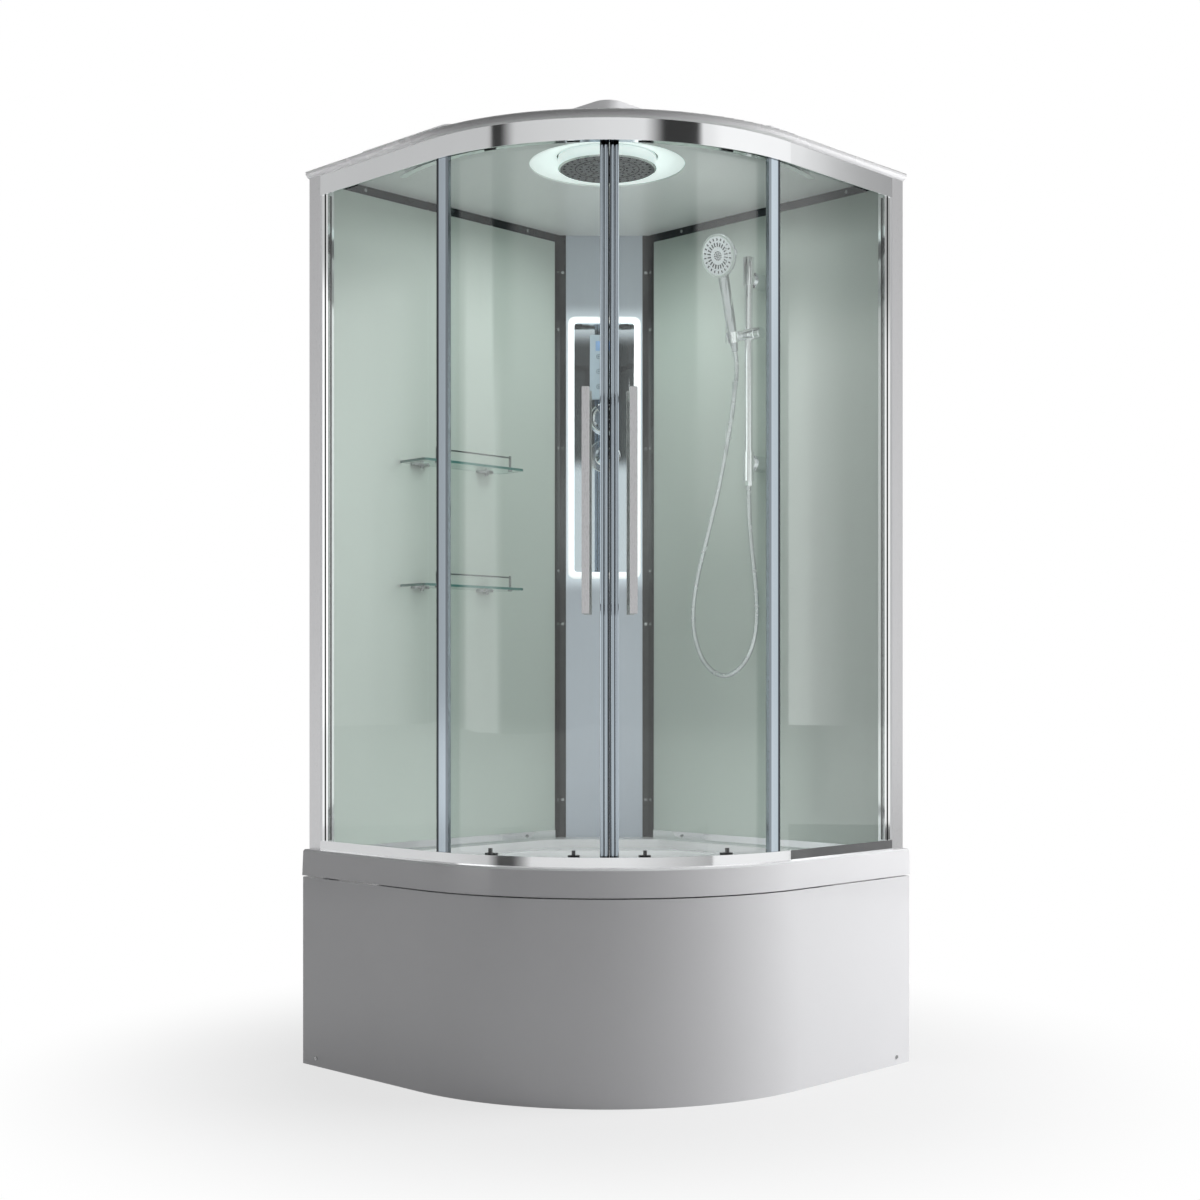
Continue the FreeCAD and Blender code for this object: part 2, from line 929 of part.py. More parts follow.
def drain():
    """The trap with its outlet pipe, and the slotted cover over it"""
    below = floor_top - tray_wall
    neck = drain_hole - touch_gap
    trap = turned_up(
        [
            (neck - drain_wall, floor_top),
            (drain_flange, floor_top),
            (drain_flange, floor_top + drain_flange_thickness),
            (neck - drain_wall, floor_top + drain_flange_thickness),
        ],
        drain_x, drain_y,
    )
    body = turned_up(
        [
            (neck, floor_top),
            (neck, below - drain_wall),
            (drain_body, below - 2 * drain_wall),
            (drain_body, drain_bottom),
            (0, drain_bottom),
            (0, drain_bottom + drain_wall),
            (drain_body - drain_wall, drain_bottom + drain_wall),
            (drain_body - drain_wall, below - 2 * drain_wall),
            (neck - drain_wall, below),
            (neck - drain_wall, floor_top),
        ],
        drain_x, drain_y,
    )
    outlet = vec(drain_pipe_end, drain_y, drain_pipe_level)
    pipe = rod(drain_pipe, vec(drain_x - drain_body / 2, drain_y, drain_pipe_level), outlet)
    bead_at = outlet.add(vec(drain_spigot, 0, 0))
    bead = rod(drain_pipe + drain_bead_rise, bead_at, bead_at.add(vec(drain_bead, 0, 0)))
    bore = rod(drain_pipe - drain_wall, vec(drain_x, drain_y, drain_pipe_level), outlet)
    inside = Part.makeCylinder(
        drain_body - drain_wall, below - 2 * drain_wall - drain_bottom - drain_wall,
        vec(drain_x, drain_y, drain_bottom + drain_wall),
    )
    trap = joined([trap, body, pipe, bead]).cut([bore, inside]).removeSplitter()
    cap_low = floor_top + drain_flange_thickness
    cap = turned_up(
        [
            (0, cap_low),
            (drain_cap, cap_low),
            (drain_cap, cap_low + drain_cap_rise / 2),
            (drain_cap_top, cap_low + drain_cap_rise),
            (0, cap_low + drain_cap_rise),
        ],
        drain_x, drain_y,
    )
    slots = []
    for turn in range(drain_slots):
        angle = 360 * turn / drain_slots
        slot = block(
            drain_x + drain_cap / 2, drain_x + drain_cap, drain_y - drain_wall, drain_y + drain_wall,
            cap_low, cap_low + drain_wall / 2,
        )
        slot.rotate(vec(drain_x, drain_y, 0), up, angle)
        slots.append(slot)
    return group([trap, cap.cut(slots)])


def track_fill(z_low, z_high):
    """The rail's web where the track runs on round past the start of the return"""
    inner = rail_radius - track_inner_set
    reach = math.radians(track_end_angle - tangent_angle)
    end_x = centre_x - inner * math.sin(reach)
    far = centre_y - inner * math.cos(reach)
    plate = block(end_x, centre_x, centre_y - rail_radius + groove_wall_set, far + track_wall, z_low, z_high)
    return plate.cut(Part.makeCylinder(inner, z_high - z_low, vec(centre_x, centre_y, z_low)))


def bottom_rail():
    low = rail_seat
    high = rail_seat + bottom_rail_height
    web = rail_seat + rail_wall
    outer = rail_radius
    groove = rail_radius - groove_wall_set
    inner = rail_radius - track_inner_set
    glazing = along_front(
        [
            (outer, low),
            (outer, high),
            (outer - rail_wall, high),
            (outer - rail_wall, web),
            (groove, web),
            (groove, low + groove_height),
            (groove - groove_wall, low + groove_height),
            (groove - groove_wall, low),
        ],
        -half + post_end,
    )
    rib_out = rail_radius - rib_set
    track = round_arc(
        [
            (groove, low),
            (groove, web),
            (rib_out, web),
            (rib_out, low + rib_height),
            (rib_out - rib, low + rib_height),
            (rib_out - rib, web),
            (inner + track_wall, web),
            (inner + track_wall, low + rib_height),
            (inner, low + rib_height),
            (inner, low),
        ],
        track_end_angle,
    )
    fill = track_fill(low, web)
    return joined([glazing, track, fill, mirrored(fill)])


def top_rail():
    high = rail_top
    web = rail_top - rail_wall
    low = rail_top - top_rail_height
    outer = rail_radius
    groove = rail_radius - groove_wall_set
    inner = rail_radius - track_inner_set
    glazing = along_front(
        [
            (outer, low),
            (outer, high),
            (groove - groove_wall, high),
            (groove - groove_wall, high - groove_height),
            (groove, high - groove_height),
            (groove, web),
            (outer - rail_wall, web),
            (outer - rail_wall, low),
        ],
        -half + post_end,
    )
    shelf_top = rail_top - shelf_drop
    shelf_out = rail_radius - shelf_set
    track = round_arc(
        [
            (groove, high),
            (groove, web),
            (inner + track_wall, web),
            (inner + track_wall, shelf_top),
            (shelf_out, shelf_top),
            (shelf_out, shelf_top - shelf_thickness),
            (inner, shelf_top - shelf_thickness),
            (inner, high),
        ],
        track_end_angle,
    )
    fill = track_fill(web, high)
    return joined([glazing, track, fill, mirrored(fill)])


def left_post():
    """A folded section: outer face and side, and a hook that closes on the jamb"""
    front = side - rail_inset
    outline = [
        (post_start, front - post_depth),
        (post_start, front),
        (post_end, front),
        (post_end, front - post_hook),
        (post_end - post_wall, front - post_hook),
        (post_end - post_wall, front - post_wall),
        (post_start + post_wall, front - post_wall),
        (post_start + post_wall, front - post_depth),
    ]
    corners = [on_left(along, off, rail_seat) for off, along in outline]
    height = rail_top - rail_seat
    skin = Part.Face(Part.makePolygon(corners + corners[:1])).extrude(vec(0, 0, height))
    boss_at = on_left(front - post_wall - post_boss / 2, (post_start + post_end) / 2, rail_seat)
    bead = Part.makeCylinder(post_boss, height, boss_at)
    hole = Part.makeCylinder(post_boss_hole, height, boss_at)
    return joined([skin, bead]).cut(hole)


def glass_slot_radii():
    outer = rail_radius - fixed_glass_set
    return outer - glass, outer


def left_glass_profiles():
    """The jamb at the post with its gasket strips, and the profile on the glass's free edge"""
    low = rail_seat + bottom_rail_height
    high = rail_top - top_rail_height
    glass_in, glass_out = glass_slot_radii()
    front = rail_radius - jamb_front_set
    start_x = -half + jamb_start
    end_x = start_x + jamb_width
    slot_x = start_x + jamb_slot
    jamb = block(start_x, end_x, centre_y - front, centre_y - front + jamb_depth, low, high)
    slot = block(slot_x, end_x, centre_y - glass_out, centre_y - glass_in, low, high)
    jamb = jamb.cut(slot)
    strip_end = end_x + gasket_width
    outer_strip = block(end_x, strip_end, centre_y - glass_out - gasket, centre_y - glass_out, low, high)
    inner_strip = block(end_x, strip_end, centre_y - glass_in, centre_y - glass_in + gasket, low, high)
    foot = rail_seat + rail_wall
    head = rail_top - rail_wall
    skin = end_profile_skin
    start = end_profile_start_angle
    profile = sector(glass_in - skin, glass_out + skin, start, end_profile_end_angle, foot, head)
    groove = sector(glass_in, glass_out, start, fixed_glass_end_angle, foot, head)
    return group([jamb, outer_strip, inner_strip, profile.cut(groove)])


def left_fixed_glass():
    glass_in, glass_out = glass_slot_radii()
    low = rail_seat + glass_foot
    high = rail_top - glass_head
    section = rectangle(glass_in, glass_out, low, high)
    return along_left(section, -half + jamb_start + jamb_slot, fixed_glass_end_angle)


def door_radii():
    outer = rail_radius - door_glass_set
    return outer - glass, outer


def radial_rod(radius, angle, z, r_low, r_high):
    """A round bar that points out from the front's centre"""
    turn = math.radians(angle - tangent_angle)
    ahead = vec(math.cos(turn), math.sin(turn), 0)
    start = vec(centre_x, centre_y, z).add(ahead * r_low)
    end = vec(centre_x, centre_y, z).add(ahead * r_high)
    return rod(radius, start, end)


def radial_block(angle, width, r_low, r_high, z_low, z_high):
    """A flat-sided bar, square to the radius at an angle"""
    bar = block(r_low, r_high, -width / 2, width / 2, z_low, z_high)
    bar.rotate(vec(0, 0, 0), up, angle - tangent_angle)
    bar.translate(front_centre)
    return bar


def handle_leg_heights():
    return (handle_bottom + handle_leg_inset, handle_bottom + handle_length - handle_leg_inset)


def carrier_bolt_level():
    return roller_level() - carrier_bolt_drop


def roller_level():
    return rail_top - shelf_drop + touch_gap + roller_radius


def left_door_glass():
    inner, outer = door_radii()
    low = rail_seat + door_foot
    high = rail_top - door_head
    pane = sector(inner, outer, door_trail_angle, door_lead_angle, low, high)
    holes = []
    for angle in roller_angles:
        radius = carrier_bolt + touch_gap
        holes.append(radial_rod(radius, angle, carrier_bolt_level(), inner - glass, outer + glass))
    for level in handle_leg_heights():
        holes.append(radial_rod(handle_bolt + touch_gap, handle_angle, level, inner - glass, outer + glass))
    return pane.cut(holes)


def front_point(radius, angle, z):
    """A point by its distance from the front's centre and its angle from the diagonal"""
    turn = math.radians(angle - tangent_angle)
    return vec(centre_x + radius * math.cos(turn), centre_y + radius * math.sin(turn), z)


def crowned_sector(r_in, r_out, crown, start, end, z_low, z_high):
    """An upright bead between two angles, with its outer face bowed out"""
    inner_start = front_point(r_in, start, z_low)
    inner_end = front_point(r_in, end, z_low)
    outer_start = front_point(r_out, start, z_low)
    outer_end = front_point(r_out, end, z_low)
    top = front_point(r_out + crown, (start + end) / 2, z_low)
    edges = [
        Part.LineSegment(inner_start, outer_start).toShape(),
        Part.Arc(outer_start, top, outer_end).toShape(),
        Part.LineSegment(outer_end, inner_end).toShape(),
        Part.LineSegment(inner_end, inner_start).toShape(),
    ]
    return Part.Face(Part.Wire(edges)).extrude(vec(0, 0, z_high - z_low))


def left_door_profiles():
    """The closing profile on the leading edge, its magnet strip, and the trailing seal"""
    inner, outer = door_radii()
    low = rail_seat + door_foot
    high = rail_top - door_head
    skin = closing_inner_skin
    width = (closing_end_angle - closing_start_angle) / closing_beads
    beads = []
    for number in range(closing_beads):
        start = closing_start_angle + width * number
        face = outer + closing_skin - bead_crown
        beads.append(crowned_sector(outer, face, bead_crown, start, start + width, low, high))
    closing = sector(inner - skin, outer, closing_start_angle, closing_end_angle, low, high)
    closing = joined([closing] + beads)
    closing = closing.cut(sector(inner, outer, closing_start_angle, door_lead_angle, low, high))
    magnet = sector(
        inner - magnet_skin / 2, outer + magnet_skin, closing_end_angle, magnet_end_angle, low, high
    )
    seal = sector(
        inner - magnet_skin, outer + trail_seal_skin, trail_seal_start_angle, trail_seal_end_angle, low, high
    )
    seal = seal.cut(sector(inner, outer, door_trail_angle, trail_seal_end_angle, low, high))
    return group([closing, magnet, seal])


def left_handle():
    """A flat bar outside, a thinner one inside, and the bolts through the glass"""
    inner, outer = door_radii()
    low = handle_bottom
    high = handle_bottom + handle_length
    face = outer + handle_reach
    back = inner - inner_handle_reach
    bar = radial_block(handle_angle, handle_width, face, face + handle_thickness, low, high)
    bar = bar.makeChamfer(handle_edge_round, bar.Edges)
    grip = radial_block(handle_angle, handle_width, back - inner_handle_thickness, back, low, high)
    grip = grip.makeChamfer(handle_edge_round, grip.Edges)
    parts = [bar, grip]
    for level in handle_leg_heights():
        leg_end = face + handle_edge_round
        parts.append(radial_rod(handle_leg, handle_angle, level, outer + touch_gap / 2, leg_end))
        leg_end = back - handle_edge_round
        parts.append(radial_rod(handle_leg, handle_angle, level, leg_end, inner - slide_gap))
        parts.append(radial_rod(handle_bolt, handle_angle, level, inner - glass / 2, outer + glass / 2))
    return joined(parts)


def left_carriers():
    """Roller plates at the top of the glass and guide clips at its foot"""
    inner, outer = door_radii()
    level = roller_level()
    shelf_out = rail_radius - shelf_set
    half_angle = math.degrees(carrier_width / 2 / inner)
    wheel_out = shelf_out - touch_gap
    result = []
    for angle in roller_angles:
        plate = sector(
            inner - carrier_thickness, inner, angle - half_angle, angle + half_angle,
            level - carrier_below, level + carrier_above,
        )
        bolt_level = carrier_bolt_level()
        bolt = radial_rod(carrier_bolt, angle, bolt_level, inner - touch_gap, outer + carrier_cap_thickness)
        cap = radial_rod(carrier_cap, angle, bolt_level, outer, outer + carrier_cap_thickness)
        head_at = wheel_out - roller_width - touch_gap
        axle = radial_rod(roller_axle, angle, level, head_at, inner - touch_gap)
        head = radial_rod(roller_axle_head, angle, level, head_at - roller_axle_head_thickness, head_at)
        result.append(joined([plate, bolt, cap, axle, head]))
    rib_out = rail_radius - rib_set
    foot = rail_seat + rail_wall * 2
    slot_high = foot + guide_slot_height
    guide_angle = math.degrees(guide_width / 2 / inner)
    tab_half = math.degrees(guide_tab_width / 2 / inner)
    for angle in roller_angles:
        clip = sector(
            inner - guide_reach, inner, angle - guide_angle, angle + guide_angle, foot, foot + guide_height
        )
        slot = sector(
            rib_out - rib - guide_slot_gap, rib_out + guide_slot_gap,
            angle - guide_angle, angle + guide_angle, foot, slot_high,
        )
        tab = sector(
            inner - guide_tab_thickness, inner, angle - tab_half, angle + tab_half,
            foot + guide_height, foot + guide_height + guide_tab_height,
        )
        result.append(joined([clip.cut(slot), tab]))
    return group(result)


def roller(angle):
    """A small grooved wheel whose axle points at the front's centre"""
    level = roller_level()
    wheel_out = rail_radius - shelf_set - touch_gap
    wheel_in = wheel_out - roller_width
    wheel = radial_rod(roller_radius, angle, level, wheel_in, wheel_out)
    middle = (wheel_in + wheel_out) / 2
    groove = radial_rod(roller_radius, angle, level, middle - roller_groove, middle + roller_groove)
    core = radial_rod(roller_radius - roller_groove / 2, angle, level, wheel_in, wheel_out)
    bore = radial_rod(roller_axle + running_gap, angle, level, wheel_in, wheel_out)
    return joined([wheel.cut(groove), core]).cut(bore)


def channel_levels():
    return deck_top, ceiling_bottom


def left_channels():
    """The four channels round a wall's glass, and the column's edge profile"""
    low, high = channel_levels()
    front_end = wall_end()
    front_start = front_end - front_channel_width
    inner_start = column_channel_start + column_channel_width
    off_low = channel_off
    off_high = channel_off + channel_depth
    slot_low = off_low + channel_skin
    slot_high = slot_low + wall_glass
    web = channel_web
    column_side = left_block(column_channel_start, inner_start, off_low, off_high, low, high)
    column_side = column_side.cut(
        left_block(column_channel_start + web, inner_start, slot_low, slot_high, low, high)
    )
    front = left_block(front_start, front_end, off_low, off_high, low, high)
    front = front.cut(left_block(front_start, front_end - web, slot_low, slot_high, low, high))
    top = left_block(inner_start, front_start, off_low, off_high, high - channel_face, high)
    top = top.cut(left_block(inner_start, front_start, slot_low, slot_high, high - channel_face, high - web))
    bottom = left_block(inner_start, front_start, off_low, off_high, low, low + channel_face)
    bottom = bottom.cut(
        left_block(inner_start, front_start, slot_low, slot_high, low + web, low + channel_face)
    )
    mitre = column_channel_start * math.sqrt(2)
    back = column_front - column_edge_depth
    outline = [
        (-column_edge_inner, column_front),
        (column_front - mitre + slide_gap, column_front),
        (column_front - channel_depth - mitre + slide_gap, column_front - channel_depth),
        (column_front - channel_depth - mitre + slide_gap, back),
        (-column_edge_inner, back),
    ]
    corners = [vec(u, -w, low) for u, w in outline]
    edge = Part.Face(Part.makePolygon(corners + corners[:1])).extrude(vec(0, 0, high - low))
    panel_front = column_front - column_panel_set
    slot = column_block(
        -column_edge_inner - column_slot, -column_edge_inner,
        panel_front - column_panel_thickness, panel_front, low, high,
    )
    return [column_side, front, top, bottom, in_column(edge.cut(slot))]


def wall_profiles():
    fixings = left_screws()
    left = [shape.cut(fixings) for shape in left_channels()]
    return group(left + [mirrored(shape) for shape in left])


def left_wall():
    low, high = channel_levels()
    front_end = wall_end()
    start = column_channel_start + column_channel_width - wall_glass_tuck
    end = front_end - front_channel_width + wall_glass_tuck
    off_low = channel_off + channel_skin
    return left_block(start, end, off_low, off_low + wall_glass, low + channel_web, high - channel_web * 2)


def right_wall():
    glass_pane = mirrored(left_wall())
    hole = rod(
        wall_pipe_hole,
        on_right(riser_along, channel_off, lower_mount_level),
        on_right(riser_along, riser_off, lower_mount_level),
    )
    return glass_pane.cut(hole)


def screw(place, out):
    """A pan head standing on a face, with its slot and a short shank"""
    head_end = place.add(out * screw_head_height)
    head = rod(screw_head, place, head_end)
    shank = rod(screw_shank, place.add(out * -screw_depth), place)
    cut = rod(screw_head * screw_slot_share, place.add(out * (screw_head_height / 2)), head_end)
    return joined([head.cut(cut), shank])


def column_screw_levels():
    """Evenly spaced levels between the deck and the ceiling"""
    low = deck_top + column_screw_inset
    step = (ceiling_bottom - column_screw_inset - low) / (column_screws - 1)
    return [low + step * index for index in range(column_screws)]


def left_screws():
    off = channel_off + channel_depth
    inward = vec(1, 0, 0)
    side_along = column_channel_start + column_channel_width / 2
    front_along = wall_end() - front_screw_set
    result = []
    levels = column_screw_levels()
    for level in levels + [ceiling_bottom - drop for drop in extra_screw_drops]:
        result.append(screw(on_left(side_along, off, level), inward))
    for level in levels:
        result.append(screw(on_left(front_along, off, level), inward))
    for along in (column_channel_start + wall_screw_inset, wall_end() - wall_screw_inset):
        result.append(screw(on_left(along, off, ceiling_bottom - channel_face / 2), inward))
        result.append(screw(on_left(along, off, deck_top + channel_face / 2), inward))
    for level in levels:
        fixing = screw(vec(-column_edge_inner - column_screw_set, -column_front, level), vec(0, -1, 0))
        result.append(in_column(fixing))
    skirt_face = on_left(side - skirt_setback, skirt_screw_along, skirt_screw_height)
    result.append(screw(skirt_face, vec(0, -1, 0)))
    return result


def screws():
    left = left_screws()
    return group(left + [mirrored(shape) for shape in left])


def column_panel():
    front = column_front - column_panel_set
    back = front - column_panel_thickness
    half_width = column_edge_inner + column_slot
    panel = column_block(-half_width, half_width, back, front, deck_top, ceiling_bottom)
    holes = [
        column_rod(boss_hole, 0, mixer_level, back, front),
        column_rod(boss_hole, 0, diverter_level, back, front),
        column_rod(cap_stem + touch_gap, 0, cap_level, back, front),
    ]
    return in_column(panel.cut(holes))


def panel_face():
    return column_front - column_panel_set


def light_frame():
    back = panel_face()
    middle = back + light_ledge_depth
    front = back + light_depth
    frame = column_plate(light_width, light_low, light_high, back, front, light_corner)
    inner_width = light_width - 2 * light_border
    window = column_plate(
        inner_width, light_low + light_border, light_high - light_border, middle, front, mirror_corner
    )
    ledge = light_border + light_ledge
    opening = column_plate(
        light_width - 2 * ledge, light_low + ledge, light_high - ledge, back, middle, mirror_corner
    )
    return in_column(frame.cut([window, opening]))


def mirror_plate():
    back = panel_face() + light_ledge_depth
    edge = light_border + mirror_gap
    plate = column_plate(
        light_width - 2 * edge, light_low + edge, light_high - edge, back, back + mirror, mirror_corner
    )
    holes = [
        column_rod(boss_hole, 0, mixer_level, back, back + mirror),
        column_rod(boss_hole, 0, diverter_level, back, back + mirror),
    ]
    return in_column(plate.cut(holes))


def mirror_face():
    return panel_face() + light_ledge_depth + mirror


def control_panel():
    back = mirror_face()
    front = back + panel_depth
    body = column_plate(panel_width, panel_low, panel_high, back, front, panel_corner)
    display = column_block(
        -display_width / 2, display_width / 2, front - display_recess, front,
        display_level - display_height / 2, display_level + display_height / 2,
    )
    pocket_back = front + key_stand - key_thickness - key_travel
    cuts = [display]
    for u in (-key_offset, key_offset):
        for drop in key_drops:
            cuts.append(column_rod(key_radius + key_gap, u, panel_high - drop, pocket_back, front))
    return in_column(body.cut(cuts))


def key(u, level):
    front = mirror_face() + panel_depth + key_stand
    disc = turned_out(
        [
            (0, front - key_thickness),
            (key_radius, front - key_thickness),
            (key_radius, front - key_stand / 2),
            (key_radius - key_stand / 2, front),
            (0, front),
        ],
        u, level,
    )
    return in_column(disc)


def mixer_plate():
    back = mirror_face()
    bore = boss + touch_gap
    plate = turned_out(
        [
            (bore, back),
            (plate_radius, back),
            (plate_radius, back + plate_thickness - plate_edge),
            (plate_radius - plate_edge, back + plate_thickness),
            (bore, back + plate_thickness),
        ],
        0, mixer_level,
    )
    return in_column(plate)


def mixer_lever():
    """A domed cap with a short arm that points down"""
    back = mirror_face() + plate_thickness + touch_gap
    front = back + lever_dome_height
    dome = turned_out(
        [
            (0, back),
            (lever_dome, back),
            (lever_dome, back + lever_dome_height / 2),
            (lever_dome_top, front),
            (0, front),
        ],
        0, mixer_level,
    )
    arm = block(
        -lever_arm, lever_arm, -front, -front + lever_arm_thickness,
        mixer_level - lever_arm_length, mixer_level,
    )
    tip = rod(
        lever_arm,
        vec(0, -front, mixer_level - lever_arm_length),
        vec(0, -front + lever_arm_thickness, mixer_level - lever_arm_length),
    )
    bore = column_rod(stem + running_gap, 0, mixer_level, back, back + stem_length)
    return in_column(joined([dome, arm, tip]).cut(bore))


def diverter_knob():
    """A broad dished knob with three shallow lobes in its dish"""
    back = mirror_face() + boss_front + touch_gap
    front = back + knob_height
    body = turned_out(
        [
            (0, back),
            (knob_waist, back),
            (knob_radius, back + knob_foot),
            (knob_radius, front - knob_dish / 2),
            (knob_radius - knob_dish / 2, front),
            (knob_dish_radius, front),
            (knob_dish_radius - knob_dish, front - knob_dish),
            (0, front - knob_dish),
        ],
        0, diverter_level,
    )
    lobes = []
    for turn in range(knob_lobes):
        lobe = block(
            -knob_lobe / 2, knob_lobe / 2, -front, -front + lobe_height,
            diverter_level, diverter_level + knob_dish_radius,
        )
        lobe.rotate(vec(0, 0, diverter_level), vec(0, 1, 0), 360 * turn / knob_lobes + 2 * tangent_angle)
        lobes.append(lobe)
    bore = column_rod(stem + running_gap, 0, diverter_level, back, back + stem_length)
    return in_column(joined([body] + lobes).cut(bore))


def valve_body():
    """The brass body behind the column, with both cartridges, inlets and outlets"""
    low = mixer_level - valve_over
    high = diverter_level + valve_over + boss
    front = mirror_face() + boss_front
    back_of_panel = panel_face() - column_panel_thickness
    spine = Part.makeCylinder(valve_radius, high - low, vec(0, -valve_centre, low))
    parts = [spine]
    for level in (mixer_level, diverter_level):
        parts.append(column_rod(boss, 0, level, valve_centre, front))
        stem_end = front + touch_gap + stem_length - pipe_clearance
        parts.append(column_rod(stem, 0, level, front - touch_gap, stem_end))
        parts.append(column_rod(collar, 0, level, back_of_panel - collar_thickness, back_of_panel))
    arm_ends = [vec(-inlet_offset, -valve_centre, mixer_level), vec(inlet_offset, -valve_centre, mixer_level)]
    parts.append(rod(inlet_arm, arm_ends[0], arm_ends[1]))
    bores = []
    for end in arm_ends:
        foot = end.add(vec(0, 0, -inlet_drop))
        parts.append(rod(inlet_radius, foot, end))
        seat = foot.z + inlet_thread
        parts.append(hexagon(inlet_hexagon, foot.x, foot.y, seat, seat + inlet_hexagon_height))
        parts.append(Part.makeSphere(inlet_arm, end))
        bores.append(rod(inlet_bore, foot, end))
    outlet_end = vec(side_outlet_length, -valve_centre, side_outlet_level)
    parts.append(rod(side_outlet, vec(0, -valve_centre, side_outlet_level), outlet_end))
    return in_column(joined(parts).cut(bores))


def from_column(u, w, z):
    """A point of the cabin's frame from its place across and out of the rear corner"""
    share = 1 / math.sqrt(2)
    return vec(-half + (u + w) * share, half + (u - w) * share, z)


def supply_pipes():
    valve_top = diverter_level + valve_over + boss
    neck_top = rain_neck_top()
    rain = bent_pipe(
        [
            from_column(0, valve_centre, valve_top),
            from_column(0, valve_centre, rain_pipe_level),
            from_column(0, rain_centre, rain_pipe_level),
            from_column(0, rain_centre, neck_top),
        ],
        rain_pipe, rain_pipe_bend,
    )
    start = from_column(side_outlet_length, valve_centre, side_outlet_level)
    turn_along = valve_centre * math.sqrt(2) - riser_pipe_off
    riser = bent_pipe(
        [
            start,
            on_right(turn_along, riser_pipe_off, side_outlet_level),
            on_right(riser_along, riser_pipe_off, side_outlet_level),
            on_right(riser_along, riser_pipe_off, lower_mount_level),
            on_right(riser_along, channel_off + channel_skin + wall_glass, lower_mount_level),
        ],
        riser_pipe, riser_pipe_bend,
    )
    return group([rain, riser])


def column_cap():
    back = panel_face()
    cap = turned_out(
        [
            (0, back - cap_stem_depth),
            (cap_stem, back - cap_stem_depth),
            (cap_stem, back),
            (cap_radius, back),
            (cap_radius, back + cap_height / 2),
            (cap_top_radius, back + cap_height),
            (0, back + cap_height),
        ],
        0, cap_level,
    )
    return in_column(cap)


def rain_place():
    return from_column(0, rain_centre, 0)


def roof():
    """The ceiling sheet with its rolled front lip, open round the light and the supply pipe"""
    low = ceiling_bottom
    high = ceiling_bottom + ceiling_thickness
    edge = rail_radius + roof_overhang
    sheet = slab(plan_corners(0, edge - roof_overhang, touch_gap), low, high)
    inner = rail_radius - roof_lap
    lip = along_front(
        [
            (inner, rail_top),
            (rail_radius + roof_edge, rail_top),
            (rail_radius + roof_overhang / 2, rail_top + roof_edge_low),
            (edge - roof_edge, rail_top + roof_lip_height / 2),
            (edge, rail_top + roof_edge_high),
            (edge - roof_edge_round, roof_lip_top),
            (inner, roof_lip_top),
        ],
        -half,
    )
    place = rain_place()
    light_hole = Part.makeCylinder(light_ring - light_hole_gap, high - low, vec(place.x, place.y, low))
    pipe_at = from_column(0, valve_centre, low)
    pipe_hole = Part.makeCylinder(rain_pipe + pipe_clearance, high - low, pipe_at)
    return joined([sheet, lip]).cut([light_hole, pipe_hole])


def cover_corners(grow):
    low = -half + cover_from_wall - grow
    front = -half + cover_from_front - grow
    cut = (front_reach - cover_cut_from_front + grow) * math.sqrt(2) - side
    return [
        (low, front, cover_corner),
        (cut + front, front, cover_corner),
        (-front, -cut - front, cover_corner),
        (-front, -low, cover_corner),
        (low, -low, cover_corner),
    ]


def hump_corners(grow):
    place = rain_place()
    reach = hump_width / 2 + grow
    return [
        (place.x - reach, place.y - reach, hump_corner),
        (place.x + reach, place.y - reach, hump_corner),
        (place.x + reach, place.y + reach, hump_corner),
        (place.x - reach, place.y + reach, hump_corner),
    ]


def roof_cover():
    """The raised cover over the light, the pipe and the power box"""
    base = ceiling_bottom + ceiling_thickness
    wall = cover_wall
    outer = tapered(cover_corners(0), base, cover_corners(-cover_draft), cover_top)
    hump = tapered(hump_corners(0), cover_top - wall, hump_corners(-cover_draft), cabin_height)
    inner = tapered(cover_corners(-wall), base, cover_corners(-cover_draft - wall), cover_top - wall)
    hump_inner = tapered(
        hump_corners(-wall), cover_top - 2 * wall, hump_corners(-cover_draft - wall), cabin_height - wall
    )
    place = rain_place()
    reach = light_ring + dome_gap
    dome_at = vec(place.x, place.y, base)
    dome = Part.makeCone(reach + wall, reach + wall - cover_draft, dome_top - base, dome_at)
    dome_inner = Part.makeCone(reach, reach - cover_draft, dome_top - wall - base, dome_at)
    flange = slab(cover_corners(cover_flange), base, base + wall)
    dome_flange = Part.makeCylinder(reach + cover_flange, wall, dome_at)
    return joined([outer, hump, dome, flange, dome_flange]).cut([inner, hump_inner, dome_inner])


def ceiling_light():
    """A shallow opal dish round the rain head, lying on the ceiling sheet"""
    place = rain_place()
    seat = ceiling_bottom + ceiling_thickness
    rise = seat + light_ring_rise
    thick = light_ring_thickness
    mouth = light_ring - light_hole_gap - touch_gap
    return turned_up(
        [
            (light_ring + light_ring_lap, seat),
            (light_ring + light_ring_lap, seat + thick),
            (mouth - thick, seat + thick),
            (light_ring_inner + light_ring_foot, rise + thick),
            (light_ring_inner, rise + thick),
            (light_ring_inner, rise),
            (light_ring_inner + light_ring_foot, rise),
            (mouth, seat),
        ],
        place.x, place.y,
    )


def rain_seat():
    return ceiling_bottom + ceiling_thickness + light_ring_rise + light_ring_thickness


def rain_neck_top():
    return rain_seat() + rain_flange_thickness + rain_neck_height


